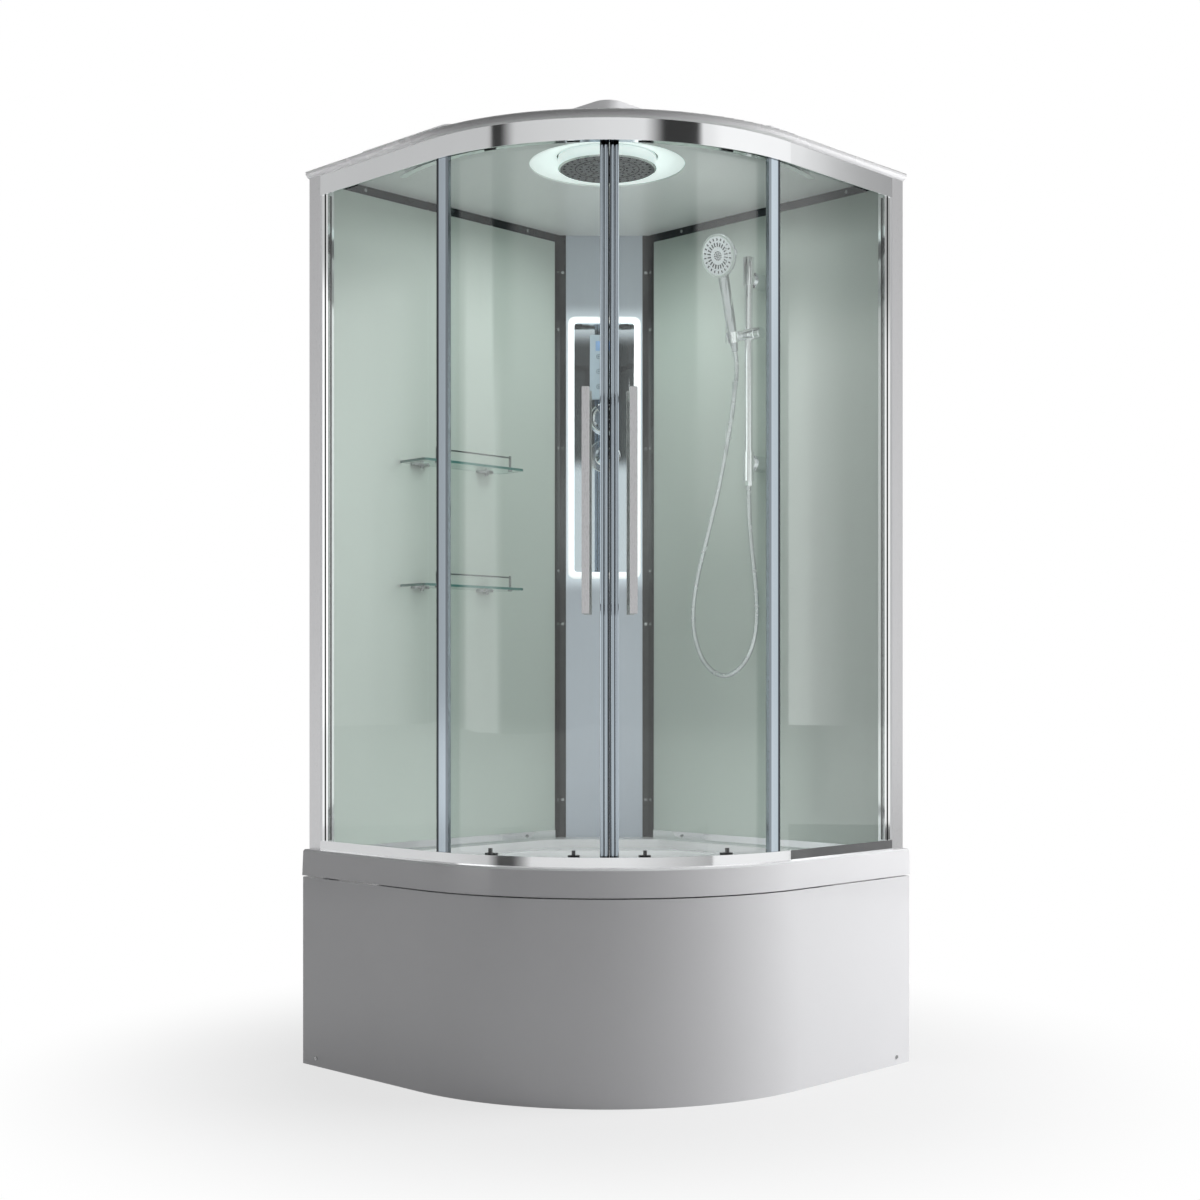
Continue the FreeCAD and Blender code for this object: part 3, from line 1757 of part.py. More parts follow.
def rain_head():
    place = rain_place()
    seat = rain_seat()
    top = seat + rain_flange_thickness
    neck_top = rain_neck_top()
    face_back = rain_bottom + rain_face_recess + rain_face_thickness
    return turned_up(
        [
            (rain_radius - rain_rim, rain_bottom),
            (rain_radius, rain_bottom + rain_rim / 2),
            (rain_radius, seat),
            (rain_flange, seat),
            (rain_flange, top),
            (rain_neck_foot, top),
            (rain_neck, top + rain_neck_height / 4),
            (rain_neck, neck_top),
            (rain_neck / 2, neck_top),
            (rain_neck / 2, face_back),
            (rain_radius - rain_rim, face_back),
        ],
        place.x, place.y,
    )


def rain_face():
    place = rain_place()
    low = rain_bottom + rain_face_recess
    high = low + rain_face_thickness
    reach = rain_radius - rain_rim
    disc = Part.makeCylinder(reach, high - low, vec(place.x, place.y, low))
    inner_ring = reach * rain_inner_share
    grooves = [ring(inner_ring, inner_ring - rain_groove, low, low + rain_groove_depth, place.x, place.y)]
    for turn in range(rain_spokes):
        groove = block(
            place.x + inner_ring - rain_groove, place.x + reach - rain_groove,
            place.y - rain_groove / 2, place.y + rain_groove / 2, low, low + rain_groove_depth,
        )
        groove.rotate(vec(place.x, place.y, 0), up, 360 * turn / rain_spokes)
        grooves.append(groove)
    return disc.cut(grooves)


def power_box():
    base = ceiling_bottom + ceiling_thickness
    body = block(box_x, box_x + box_length, box_y, box_y + box_width, base, base + box_height)
    tall = [e for e in body.Edges if abs(e.Vertexes[0].Z - e.Vertexes[-1].Z) > box_height / 2]
    body = body.makeFillet(box_edge, tall)
    lugs = []
    for y in (box_y, box_y + box_width - box_lug * 2):
        lugs.append(block(
            box_x - box_lug, box_x + box_length + box_lug, y, y + box_lug * 2, base, base + box_lug_thickness
        ))
    return joined([body] + lugs)


def shelf_levels():
    return [ceiling_bottom - drop for drop in shelf_drops]


def shelves():
    off_low = channel_off + channel_skin + wall_glass
    result = []
    for level in shelf_levels():
        plate = left_block(
            shelf_middle - shelf_length / 2, shelf_middle + shelf_length / 2,
            off_low, off_low + shelf_depth, level, level + shelf_glass,
        )
        free_edges = [
            e for e in plate.Edges
            if abs(e.Vertexes[0].Z - e.Vertexes[-1].Z) > shelf_glass / 2
            and e.Vertexes[0].X > -half + off_low + shelf_depth / 2
        ]
        plate = plate.makeFillet(shelf_corner, free_edges)
        for offset in (-gallery_offset, gallery_offset):
            hole_at = on_left(shelf_middle + offset, off_low + shelf_depth - gallery_inset, level)
            plate = plate.cut(Part.makeCylinder(gallery_post + touch_gap, shelf_glass, hole_at))
        result.append(plate)
    return group(result)


def shelf_clip(level, along):
    """Half discs above and below the glass on a block at the wall, with a clamp screw"""
    off = channel_off + channel_skin + wall_glass
    low = level - clip_plate
    top = level + shelf_glass
    wide = clip_radius * 2
    wall_cut = left_block(along - wide, along + wide, -wide, off, low, top + clip_plate)
    plate = Part.makeCylinder(clip_radius, clip_plate, on_left(along, off, low)).cut(wall_cut)
    cap = Part.makeCylinder(clip_top_radius, clip_plate, on_left(along, off, top)).cut(wall_cut)
    clamp_at = on_left(along, off + clip_back, low - clip_screw_height)
    clamp = Part.makeCylinder(clip_screw, clip_screw_height, clamp_at)
    return [joined([plate, clamp]), cap]


def shelf_gallery(level):
    off = channel_off + channel_skin + wall_glass + shelf_depth - gallery_inset
    top = level + shelf_glass + gallery_height
    ends = [shelf_middle - gallery_offset, shelf_middle + gallery_offset]
    parts = []
    for along in ends:
        foot = on_left(along, off, level - gallery_nut_height)
        parts.append(rod(gallery_post, foot, on_left(along, off, top + gallery_rail * 2)))
        parts.append(rod(gallery_nut, foot, on_left(along, off, level)))
    parts.append(rod(gallery_rail, on_left(ends[0], off, top), on_left(ends[1], off, top)))
    return joined(parts)


def shelf_fittings():
    result = []
    for level in shelf_levels():
        result += shelf_clip(level, shelf_middle - clip_offset)
        result += shelf_clip(level, shelf_middle + clip_offset)
        result.append(shelf_gallery(level))
    return group(result)


def riser_rail():
    """The rail tube, its two wall mounts with their sleeves, and the hose nut"""
    axis = on_right(riser_along, riser_off, 0)
    wall_off = channel_off + channel_skin + wall_glass
    bar_top = upper_sleeve_high - riser_wall
    bar = ring(riser_radius, riser_radius - riser_wall, lower_sleeve_low, bar_top, axis.x, axis.y)
    mounts = []
    for low, high, level in (
        (lower_sleeve_low, lower_sleeve_high, lower_mount_level),
        (upper_sleeve_low, upper_sleeve_high, upper_mount_level),
    ):
        sleeve = Part.makeCylinder(riser_sleeve, high - low, vec(axis.x, axis.y, low))
        wall_point = on_right(riser_along, wall_off, level)
        flange = rod(mount_radius, wall_point, on_right(riser_along, riser_off - riser_sleeve, level))
        neck = rod(mount_neck, wall_point, on_right(riser_along, riser_off, level))
        bore_top = min(high, bar_top)
        bore = Part.makeCylinder(riser_radius, bore_top - low, vec(axis.x, axis.y, low))
        mounts.append(joined([sleeve, flange, neck]).cut(bore))
    nut = hexagon(nut_radius, axis.x, axis.y, lower_sleeve_low - nut_height, lower_sleeve_low)
    return group([bar] + mounts + [nut])


def slider():
    axis = on_right(riser_along, riser_off, 0)
    start = on_right(slider_start, riser_off, slider_level)
    end = on_right(slider_end, riser_off, slider_level)
    barrel = rod(slider_radius, start, end)
    barrel = barrel.makeChamfer(slider_round, [e for e in barrel.Edges if len(e.Vertexes) == 1])
    hole = Part.makeCylinder(
        riser_radius + running_gap, 4 * slider_radius, vec(axis.x, axis.y, slider_level - 2 * slider_radius)
    )
    holder_pin = rod(pin_radius, start.add(vec(-pin_length, 0, 0)), start.add(vec(touch_gap, 0, 0)))
    right_bore = rod(pin_radius + running_gap, end.add(vec(-pin_length - touch_gap, 0, 0)), end)
    return joined([barrel, holder_pin]).cut([hole, right_bore])


def slider_knob():
    start = on_right(slider_end + touch_gap, riser_off, slider_level)
    end = on_right(knob_end, riser_off, slider_level)
    grip = rod(clamp_radius, start, end)
    grip = grip.makeChamfer(slider_round, [e for e in grip.Edges if len(e.Vertexes) == 1])
    flutes = []
    for turn in range(clamp_flutes):
        angle = 2 * math.pi * turn / clamp_flutes
        reach = clamp_radius + clamp_flute / 2
        shift = vec(0, reach * math.cos(angle), reach * math.sin(angle))
        flutes.append(rod(clamp_flute, start.add(shift), end.add(shift)))
    pin_at = start.add(vec(-pin_length, 0, 0))
    return joined([grip.cut(flutes), rod(pin_radius, pin_at, start)])


def tilted(shape):
    """Leans a hand shower piece out from the wall about the holder's pivot"""
    shape.rotate(on_right(riser_along, riser_off, slider_level), vec(1, 0, 0), hand_tilt)
    return shape


def hand_point(out, z):
    """A point in the plane of the hand shower, out from the pivot and up, before the tilt"""
    return on_right(cup_along, riser_off + out, slider_level + z)


def turned_handle(points):
    """A body turned about the hand shower's axis; points are (radius, height)"""
    base = hand_point(cup_out, 0)
    corners = [vec(base.x + radius, base.y, base.z + height) for radius, height in points]
    face = Part.Face(Part.makePolygon(corners + corners[:1]))
    return face.revolve(base, up, 360)


def holder():
    hub_end = slider_start - touch_gap
    hub_face = on_right(hub_end, riser_off, slider_level)
    hub = rod(hub_radius, on_right(hub_start, riser_off, slider_level), hub_face)
    pin_bore = rod(
        pin_radius + running_gap,
        on_right(slider_start - pin_length - touch_gap, riser_off, slider_level),
        hub_face,
    )
    arm_start = on_right(hub_start, riser_off, slider_level)
    arm_end_y = hand_point(cup_out, 0).y
    arm = block(
        arm_start.x, arm_start.x + arm_width, arm_end_y, arm_start.y,
        slider_level - arm_width / 2, slider_level + arm_width / 2,
    )
    low = -cup_height / 2
    high = cup_height / 2
    cup = turned_handle([(0, low), (cup_foot_radius, low), (cup_radius, high), (0, high)])
    socket = turned_handle(
        [
            (0, low),
            (handle_cup_low + touch_gap, low),
            (handle_cup_high + touch_gap, high),
            (0, high),
        ]
    )
    middle = hand_point(cup_out, 0)
    slot = block(
        middle.x - cup_slot / 2, middle.x + cup_slot / 2, middle.y - 2 * cup_radius, middle.y,
        slider_level + low, slider_level + high,
    )
    return tilted(joined([hub, arm, cup]).cut([socket, slot, pin_bore]).removeSplitter())


def head_axis_point(out):
    return hand_point(out + cup_out, head_level)


def head_rod(radius, out_low, out_high):
    return rod(radius, head_axis_point(out_low), head_axis_point(out_high))


def handset():
    """The handle with its swivel, and the round head behind the spray face"""
    low = -cup_height / 2
    high = cup_height / 2
    grip = turned_handle(
        [
            (0, handle_low),
            (handle_low_radius, handle_low),
            (handle_cup_low, low),
            (handle_cup_high, high),
            (handle_mid_radius, high + cup_height),
            (handle_top_radius, handle_top),
            (0, handle_top),
        ]
    )
    swivel = turned_handle(
        [
            (0, handle_low - swivel_length),
            (swivel_radius, handle_low - swivel_length),
            (swivel_radius, handle_low),
            (0, handle_low),
        ]
    )
    rear = head_axis_point(head_back)
    rim = head_axis_point(head_front - face_depth)
    outline = [
        (0, head_back),
        (head_back_radius, head_back),
        (head_shoulder_radius, head_shoulder),
        (head_radius, head_front - face_depth),
        (0, head_front - face_depth),
    ]
    corners = [vec(rear.x, head_axis_point(out).y, rear.z + radius) for radius, out in outline]
    shell = Part.Face(Part.makePolygon(corners + corners[:1])).revolve(rear, vec(0, 1, 0), 360)
    room_end = head_front + handle_top_radius
    front_room = head_rod(face_ring_radius + touch_gap, head_front - face_depth, room_end)
    spigot = head_rod(spray_pin, head_front - face_depth, head_front - face_depth / 2)
    return tilted(joined([grip, swivel, shell]).cut(front_room).fuse(spigot).removeSplitter())


def spray_face():
    """The turning front of the head, with a small tab at its rim"""
    back = head_front - face_depth + touch_gap
    disc = head_rod(face_ring_radius, back, head_front)
    disc = disc.makeChamfer(face_plate_step, [e for e in disc.Edges if len(e.Vertexes) == 1])
    plate = head_rod(face_plate_radius, back, head_front + face_plate_step)
    middle = head_axis_point(back)
    tab = block(
        middle.x + face_ring_radius - face_tab, middle.x + face_ring_radius + face_tab,
        head_axis_point(head_front).y + face_plate_step, middle.y - touch_gap,
        middle.z - face_tab_width / 2, middle.z + face_tab_width / 2,
    )
    socket = head_rod(spray_pin + running_gap, back, head_front - face_depth / 2 + touch_gap)
    return tilted(joined([disc, plate, tab]).cut(socket))


def hose_route():
    """The hose from the hand shower's swivel down, round and up to the nut on the riser"""
    top = hand_point(cup_out, handle_low - swivel_length)
    pivot = on_right(riser_along, riser_off, slider_level)
    turn = FreeCAD.Rotation(vec(1, 0, 0), hand_tilt)
    start = pivot.add(turn.multVec(top.sub(pivot)))
    down = turn.multVec(vec(0, 0, -1))
    nut = on_right(riser_along, riser_off, lower_sleeve_low - nut_height)
    shown = [
        (571.0, 124.0, 1598.0),
        (561.0, 124.0, 1530.0),
        (540.0, 122.0, 1446.0),
        (510.0, 119.0, 1345.0),
        (474.0, 116.0, 1240.0),
        (440.0, 113.0, 1150.0),
        (420.0, 110.0, 1058.0),
        (429.0, 108.0, 985.0),
        (460.0, 106.0, 925.0),
        (522.0, 105.0, 893.0),
        (584.0, 103.0, 925.0),
        (616.0, 101.0, 985.0),
        (623.0, 99.0, 1058.0),
        (613.0, 96.0, 1140.0),
        (598.0, 93.0, 1225.0),
    ]
    middle = [on_right(along, off, z) for along, off, z in shown]
    first = start.add(down * hose_top_run)
    last = nut.add(vec(0, 0, -hose_nut_run))
    return [start, first] + middle + [last, nut]


def hose():
    """A tube of straight runs joined by arcs as large as the runs allow"""
    points = hose_route()
    edges = []
    last = points[0]
    radii = []
    for index in range(1, len(points) - 1):
        here = points[index]
        back = points[index - 1].sub(here)
        ahead = points[index + 1].sub(here)
        reach = hose_bend_share * min(back.Length, ahead.Length)
        back.normalize()
        ahead.normalize()
        inner = back.getAngle(ahead)
        radius = reach * math.tan(inner / 2)
        radii.append(radius)
        start = here.add(back * reach)
        end = here.add(ahead * reach)
        bisector = back.add(ahead).normalize()
        middle = here.add(bisector * (radius / math.sin(inner / 2) - radius))
        edges.append(Part.LineSegment(last, start).toShape())
        edges.append(Part.Arc(start, middle, end).toShape())
        last = end
    edges.append(Part.LineSegment(last, points[-1]).toShape())
    path = Part.Wire(edges)
    circle = Part.Wire([Part.makeCircle(hose_radius, points[0], points[1].sub(points[0]))])
    tube_solid = path.makePipeShell([circle], True, False)
    ideal = math.pi * hose_radius ** 2 * path.Length
    print("hose length", round(path.Length), "volume share", round(tube_solid.Volume / ideal, 4))
    print("hose radii", [round(radius) for radius in radii])
    return tube_solid


def nodes():
    """Every node's name and shape"""
    left_rollers = [roller(angle) for angle in roller_angles]
    parts = {
        "tray": tray(),
        "skirt": skirt(),
        "support_frame": support_frame(),
        "feet": feet(),
        "drain": drain(),
        "bottom_rail": bottom_rail(),
        "top_rail": top_rail(),
        "left_post": left_post(),
        "right_post": mirrored(left_post()),
        "left_glass_profiles": left_glass_profiles(),
        "right_glass_profiles": mirrored(left_glass_profiles()),
        "left_fixed_glass": left_fixed_glass(),
        "right_fixed_glass": mirrored(left_fixed_glass()),
        "left_wall": left_wall(),
        "right_wall": right_wall(),
        "wall_profiles": wall_profiles(),
        "screws": screws(),
        "column_panel": column_panel(),
        "column_cap": column_cap(),
        "light_frame": light_frame(),
        "mirror": mirror_plate(),
        "control_panel": control_panel(),
        "diverter_knob": diverter_knob(),
        "mixer_plate": mixer_plate(),
        "mixer_lever": mixer_lever(),
        "valve_body": valve_body(),
        "supply_pipes": supply_pipes(),
        "roof": roof(),
        "roof_cover": roof_cover(),
        "ceiling_light": ceiling_light(),
        "rain_head": rain_head(),
        "rain_face": rain_face(),
        "power_box": power_box(),
        "left_door_glass": left_door_glass(),
        "left_door_profiles": left_door_profiles(),
        "left_handle": left_handle(),
        "left_carriers": left_carriers(),
        "left_roller_back": left_rollers[0],
        "left_roller_front": left_rollers[1],
        "right_door_glass": mirrored(left_door_glass()),
        "right_door_profiles": mirrored(left_door_profiles()),
        "right_handle": mirrored(left_handle()),
        "right_carriers": mirrored(left_carriers()),
        "right_roller_back": mirrored(left_rollers[0]),
        "right_roller_front": mirrored(left_rollers[1]),
        "shelves": shelves(),
        "shelf_fittings": shelf_fittings(),
        "riser_rail": riser_rail(),
        "slider": slider(),
        "slider_knob": slider_knob(),
        "holder": holder(),
        "handset": handset(),
        "spray_face": spray_face(),
        "hose": hose(),
    }
    number = 0
    for drop in key_drops:
        for u in (-key_offset, key_offset):
            number += 1
            parts["key_" + str(number)] = key(u, panel_high - drop)
    return parts


os.makedirs("parts", exist_ok=True)
for name, shape in nodes().items():
    if not shape.isValid():
        print("not valid:", name)
    shape.exportStep("parts/" + name + ".step")
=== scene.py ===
"""Looks for the quadrant shower cabin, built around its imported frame.

Lengths are in metres in the frame's own axes: +Z up, the room corner at (-HALF, HALF), and the
curved front towards (+X, -Y). Angles on the front are degrees from the cabin's diagonal.
"""

import math

import bmesh
import bpy
from mathutils import Matrix, Vector


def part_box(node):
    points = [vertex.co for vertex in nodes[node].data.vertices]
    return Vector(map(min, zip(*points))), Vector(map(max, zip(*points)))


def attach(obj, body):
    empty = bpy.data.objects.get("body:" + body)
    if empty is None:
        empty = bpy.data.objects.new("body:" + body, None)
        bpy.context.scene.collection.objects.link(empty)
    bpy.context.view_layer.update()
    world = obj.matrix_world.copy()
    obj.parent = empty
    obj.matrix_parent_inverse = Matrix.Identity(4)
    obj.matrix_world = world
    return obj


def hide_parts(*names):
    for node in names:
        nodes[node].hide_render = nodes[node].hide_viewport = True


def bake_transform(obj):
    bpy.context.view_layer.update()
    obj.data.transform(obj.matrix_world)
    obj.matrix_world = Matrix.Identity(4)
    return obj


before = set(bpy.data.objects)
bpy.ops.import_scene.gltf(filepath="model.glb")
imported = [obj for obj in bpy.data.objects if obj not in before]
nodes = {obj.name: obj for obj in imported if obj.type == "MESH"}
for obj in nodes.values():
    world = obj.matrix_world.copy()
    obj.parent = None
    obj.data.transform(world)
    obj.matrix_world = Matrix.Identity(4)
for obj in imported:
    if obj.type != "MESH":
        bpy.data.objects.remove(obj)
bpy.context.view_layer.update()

HALF = 0.5
FRONT_CENTRE = Vector((-0.08, 0.08, 0.0))
DIAGONAL = Vector((1, -1, 0)).normalized()
ACROSS = Vector((1, 1, 0)).normalized()
ROOM_CORNER = Vector((-HALF, HALF, 0.0))
UP = Vector((0, 0, 1))
ORIGIN = Vector((0, 0, 0))

# the hand shower's lean about the holder's pivot, and how far out of it the holder's cup stands
HAND_TILT = math.radians(14)
HAND_PIVOT = Vector((0.088, 0.41, 1.738))
CUP_OUT = 0.038

# the hose; its first two lengths end this many steps from the hand shower's thread
HOSE_DIAMETER = 0.012
HOSE_STEP = 0.001
HOSE_TOP_END = 75
HOSE_NECK_END = 200
HOSE_RIB_DEPTH = 0.00045
HOSE_RIB_STEPS = 3

# the mirror and the control panel on the column
MIRROR_LEVEL = 1.502
MIRROR_HALF_WIDTH = 0.0805
MIRROR_HALF_HEIGHT = 0.327
PANEL_FACE = 0.174
COLUMN_AXES = (ACROSS, UP, DIAGONAL)

# where one node's faces take another material
LIP_LEVEL = 2.0565
LIP_HEIGHT = 0.011
LIP_RADIUS = 0.566
LIP_TOP = 2.0695
FOOT_PAD_TOP = 0.0101
DRAIN_COVER_LEVEL = 0.1129
COLUMN_EDGE_REACH = 0.245
CEILING_PROFILE_LEVEL = 2.04
CARRIER_CAP_RADIUS = 0.5372
LOWER_SHELF_LEVEL = 1.115
SHELF_SPACING = 0.3
SHELF_EDGE = (0.0003, 0.0047)
PANE_END_ANGLE = 43
TRAILING_SEAL_ANGLE = 30

# noise stretched upright, as on metal drawn along its length, and the range of noise put to use
UPRIGHT = (30, 30, 1)
NOISE_RANGE = (0.2, 0.8)

# small mesh work: the sides of a stud, and how far printed marks and the strips of painted groove
# shade stand up
STUD_SIDES = 8
MARK_HEIGHT = 0.0003

# the plain light of the room, the diagonal's angle below +X in plan, and the height lamps aim at
AMBIENT = 0.14
DIAGONAL_TURN = 45
CABIN_MIDDLE = 1.0


def from_column(u, w, z):
    """A point by its place across and out of the room corner"""
    return ROOM_CORNER + ACROSS * u + DIAGONAL * w + Vector((0, 0, z))


def hand_point(out, z, along=0.568):
    """A point of the leaning hand shower, out from its pivot and up, before the lean"""
    flat = Vector((-HALF + along, HAND_PIVOT.y - out, HAND_PIVOT.z + z)) - HAND_PIVOT
    return HAND_PIVOT + Matrix.Rotation(HAND_TILT, 3, "X") @ flat


# ---------------------------------------------------------------- camera
# a level camera, from the fit of the photograph's points
CAMERA_PLACE = (2.8884, -2.9615, 0.871)
CAMERA_TURN = 44.26
CAMERA_LENS = 53.35
CAMERA_SHIFT = (-0.0063, 0.0731)


def make_camera():
    data = bpy.data.cameras.new("camera")
    data.sensor_fit = "HORIZONTAL"
    data.sensor_width = 36
    data.lens = CAMERA_LENS
    data.shift_x, data.shift_y = CAMERA_SHIFT
    camera = bpy.data.objects.new("camera", data)
    camera.location = CAMERA_PLACE
    camera.rotation_euler = (math.radians(90), 0, math.radians(CAMERA_TURN))
    bpy.context.collection.objects.link(camera)
    bpy.context.scene.camera = camera


make_camera()


# ---------------------------------------------------------------- node helpers
def math_node(tree, operation, *values):
    """A math node whose inputs are numbers or sockets; returns its output"""
    made = tree.nodes.new("ShaderNodeMath")
    made.operation = operation
    for socket, value in zip(made.inputs, values):
        if isinstance(value, (int, float)):
            socket.default_value = value
        else:
            tree.links.new(value, socket)
    return made.outputs[0]


def fade_node(tree, value, near, far, at_near, at_far):
    """A smooth change of level while the value runs from near to far; returns its output"""
    made = tree.nodes.new("ShaderNodeMapRange")
    made.interpolation_type = "SMOOTHSTEP"
    levels = (("From Min", near), ("From Max", far), ("To Min", at_near), ("To Max", at_far))
    for name, level in levels:
        made.inputs[name].default_value = level
    tree.links.new(value, made.inputs["Value"])
    return made.outputs["Result"]


def ramp_node(tree, value, stops):
    """A colour ramp of (position, colour) stops; returns its colour output"""
    made = tree.nodes.new("ShaderNodeValToRGB")
    points = made.color_ramp.elements
    while len(points) < len(stops):
        points.new(0.5)
    for point, (position, colour) in zip(points, stops):
        point.position = position
    for point, (position, colour) in zip(points, stops):
        point.color = (*colour, 1)
    tree.links.new(value, made.inputs["Fac"])
    return made.outputs["Color"]


class Surface:
    """A material being built on a Principled shader, one feature per call"""

    def __init__(self, name, colour, metallic=0.0, roughness=0.5, **sockets):
        self.material = bpy.data.materials.new(name)
        self.material.use_nodes = True
        self.tree = self.material.node_tree
        self.shader = self.tree.nodes["Principled BSDF"]
        self.set("Base Color", (*colour, 1))
        self.set("Metallic", metallic)
        self.set("Roughness", roughness)
        for key, value in sockets.items():
            self.set(key.replace("_", " "), value)
        self.colour = colour
        self.coords = None

    def set(self, socket, value):
        self.shader.inputs[socket].default_value = value

    def node(self, kind, **inputs):
        made = self.tree.nodes.new(kind)
        for key, value in inputs.items():
            made.inputs[key.replace("_", " ")].default_value = value
        return made

    def link(self, start, end):
        self.tree.links.new(start, end)

    def place(self, stretch=(1, 1, 1)):
        """Object coordinates, stretched, which are the frame's own on its nodes"""
        if self.coords is None:
            self.coords = self.node("ShaderNodeTexCoord")
        mapping = self.node("ShaderNodeMapping", Scale=stretch)
        self.link(self.coords.outputs["Object"], mapping.inputs["Vector"])
        return mapping.outputs["Vector"]

    def noise(self, scale, stretch=(1, 1, 1), detail=3.0):
        made = self.node("ShaderNodeTexNoise", Scale=scale, Detail=detail)
        self.link(self.place(stretch), made.inputs["Vector"])
        return made.outputs["Fac"]

    def patchy(self, scale, stretch, low, high):
        """Noise that runs smoothly between two levels"""
        return fade_node(self.tree, self.noise(scale, stretch), *NOISE_RANGE, low, high)

    def uneven_gloss(self, scale, low, high, stretch=(1, 1, 1)):
        self.link(self.patchy(scale, stretch, low, high), self.shader.inputs["Roughness"])
        return self

    def uneven_colour(self, scale, other, stretch=(1, 1, 1)):
        mix = self.node("ShaderNodeMix")
        mix.data_type = "RGBA"
        colour_sockets = [s for s in mix.inputs if s.type == "RGBA"]
        colour_sockets[0].default_value = (*self.colour, 1)
        colour_sockets[1].default_value = (*other, 1)
        self.link(self.patchy(scale, stretch, 0.0, 1.0), mix.inputs["Factor"])
        result = [s for s in mix.outputs if s.type == "RGBA"][0]
        self.link(result, self.shader.inputs["Base Color"])
        return self

    def grain(self, scale, depth, stretch=(1, 1, 1), strength=0.5):
        bump = self.node("ShaderNodeBump", Strength=strength, Distance=depth)
        self.link(self.noise(scale, stretch), bump.inputs["Height"])
        self.link(bump.outputs["Normal"], self.shader.inputs["Normal"])
        return self

    def math(self, operation, *values):
        return math_node(self.tree, operation, *values)

    def along(self, direction, origin):
        """The distance of a surface point from an origin along a direction"""
        offset = self.node("ShaderNodeVectorMath")
        offset.operation = "SUBTRACT"
        self.link(self.place(), offset.inputs[0])
        offset.inputs[1].default_value = origin
        dot = self.node("ShaderNodeVectorMath")
        dot.operation = "DOT_PRODUCT"
        self.link(offset.outputs["Vector"], dot.inputs[0])
        dot.inputs[1].default_value = direction
        return dot.outputs["Value"]

    def front_angle(self):
        """Degrees from the diagonal about the front's centre, without a sign"""
        aside = self.along(ACROSS, FRONT_CENTRE)
        turned = self.math("ARCTAN2", aside, self.along(DIAGONAL, FRONT_CENTRE))
        return self.math("ABSOLUTE", self.math("DEGREES", turned))

    def colour_by(self, value, low, high, stops):
        """Base colour from a ramp of (value, colour) stops between low and high

        A ramp has 256 entries, so the range should be little longer than its stops.
        """
        scaled = self.math("DIVIDE", self.math("SUBTRACT", value, low), high - low)
        placed = [((level - low) / (high - low), colour) for level, colour in stops]
        self.link(ramp_node(self.tree, scaled, placed), self.shader.inputs["Base Color"])
        return self

    def glow_by(self, value, near, far, high, low):
        """Emission that falls from high to low between two values"""
        glow = fade_node(self.tree, value, near, far, high, low)
        self.link(glow, self.shader.inputs["Emission Strength"])
        return self

    def crown(self, value, middle, width, slope):
        """Shades a flat face as a gently crowned one, by a bump across its width"""
        offset = self.math("SUBTRACT", value, middle)
        height = self.math("MULTIPLY", self.math("MULTIPLY", offset, offset), -slope / width)
        bump = self.node("ShaderNodeBump", Strength=1.0, Distance=1.0)
        self.link(height, bump.inputs["Height"])
        self.link(bump.outputs["Normal"], self.shader.inputs["Normal"])
        return self

    def lets_light_in(self, tint):
        """Shadow and scattered rays pass straight through the pane"""
        output = self.tree.nodes["Material Output"]
        rays = self.node("ShaderNodeLightPath").outputs
        either = self.math("MAXIMUM", rays["Is Shadow Ray"], rays["Is Diffuse Ray"])
        through = self.node("ShaderNodeBsdfTransparent", Color=(*tint, 1))
        mix = self.node("ShaderNodeMixShader")
        self.link(either, mix.inputs[0])
        self.link(self.shader.outputs[0], mix.inputs[1])
        self.link(through.outputs[0], mix.inputs[2])
        self.link(mix.outputs[0], output.inputs["Surface"])
        return self


def polished_metal(name, colour, roughness):
    made = Surface(name, colour, metallic=1.0, roughness=roughness)
    made.uneven_gloss(12, roughness * 0.85, roughness * 1.25)
    made.uneven_colour(7, tuple(part * 0.97 for part in colour))
    return made.grain(1400, 0.00001, strength=0.08).material


def brushed_metal(name, colour, roughness, stretch):
    made = Surface(name, colour, metallic=1.0, roughness=roughness)
    made.uneven_gloss(60, roughness * 0.8, roughness * 1.25, stretch)
    made.uneven_colour(25, tuple(part * 0.96 for part in colour), stretch)
    return made.grain(1200, 0.00003, stretch, strength=0.2).material


def gloss_plastic(name, colour, roughness, coat):
    made = Surface(name, colour, roughness=roughness, Coat_Weight=coat, Coat_Roughness=0.05)
    made.uneven_gloss(14, roughness * 0.85, roughness * 1.2)
    made.uneven_colour(5, tuple(part * 0.985 for part in colour))
    return made.grain(350, 0.00003, strength=0.2).material


def matte_plastic(name, colour, roughness, shine=0.5):
    made = Surface(name, colour, roughness=roughness, Specular_IOR_Level=shine)
    made.uneven_gloss(60, roughness * 0.85, roughness * 1.15)
    return made.grain(1500, 0.00005, strength=0.4).material


def clear_glass(name, tint, roughness=0.0):
    made = Surface(name, tint, roughness=roughness, IOR=1.5, Transmission_Weight=1.0)
    made.grain(3, 0.0001, strength=0.006)
    return made.lets_light_in((0.93, 0.96, 0.945)).material


def opal(name, glow, base=(0.9, 0.92, 0.92)):
    """A diffuser sheet that glows in a colour, before its strength is set"""
    made = Surface(name, base, roughness=0.35)
    made.set("Emission Color", (*glow, 1))
    return made.grain(400, 0.00003, strength=0.2)


def lamp(made, centre, near, far, high, low):
    """An opal diffuser whose glow fades with the distance from a point"""
    reach = made.node("ShaderNodeVectorMath")
    reach.operation = "DISTANCE"
    made.link(made.place(), reach.inputs[0])
    reach.inputs[1].default_value = centre
    made.set("Emission Strength", high)
    return made.glow_by(reach.outputs["Value"], near, far, high, low).material


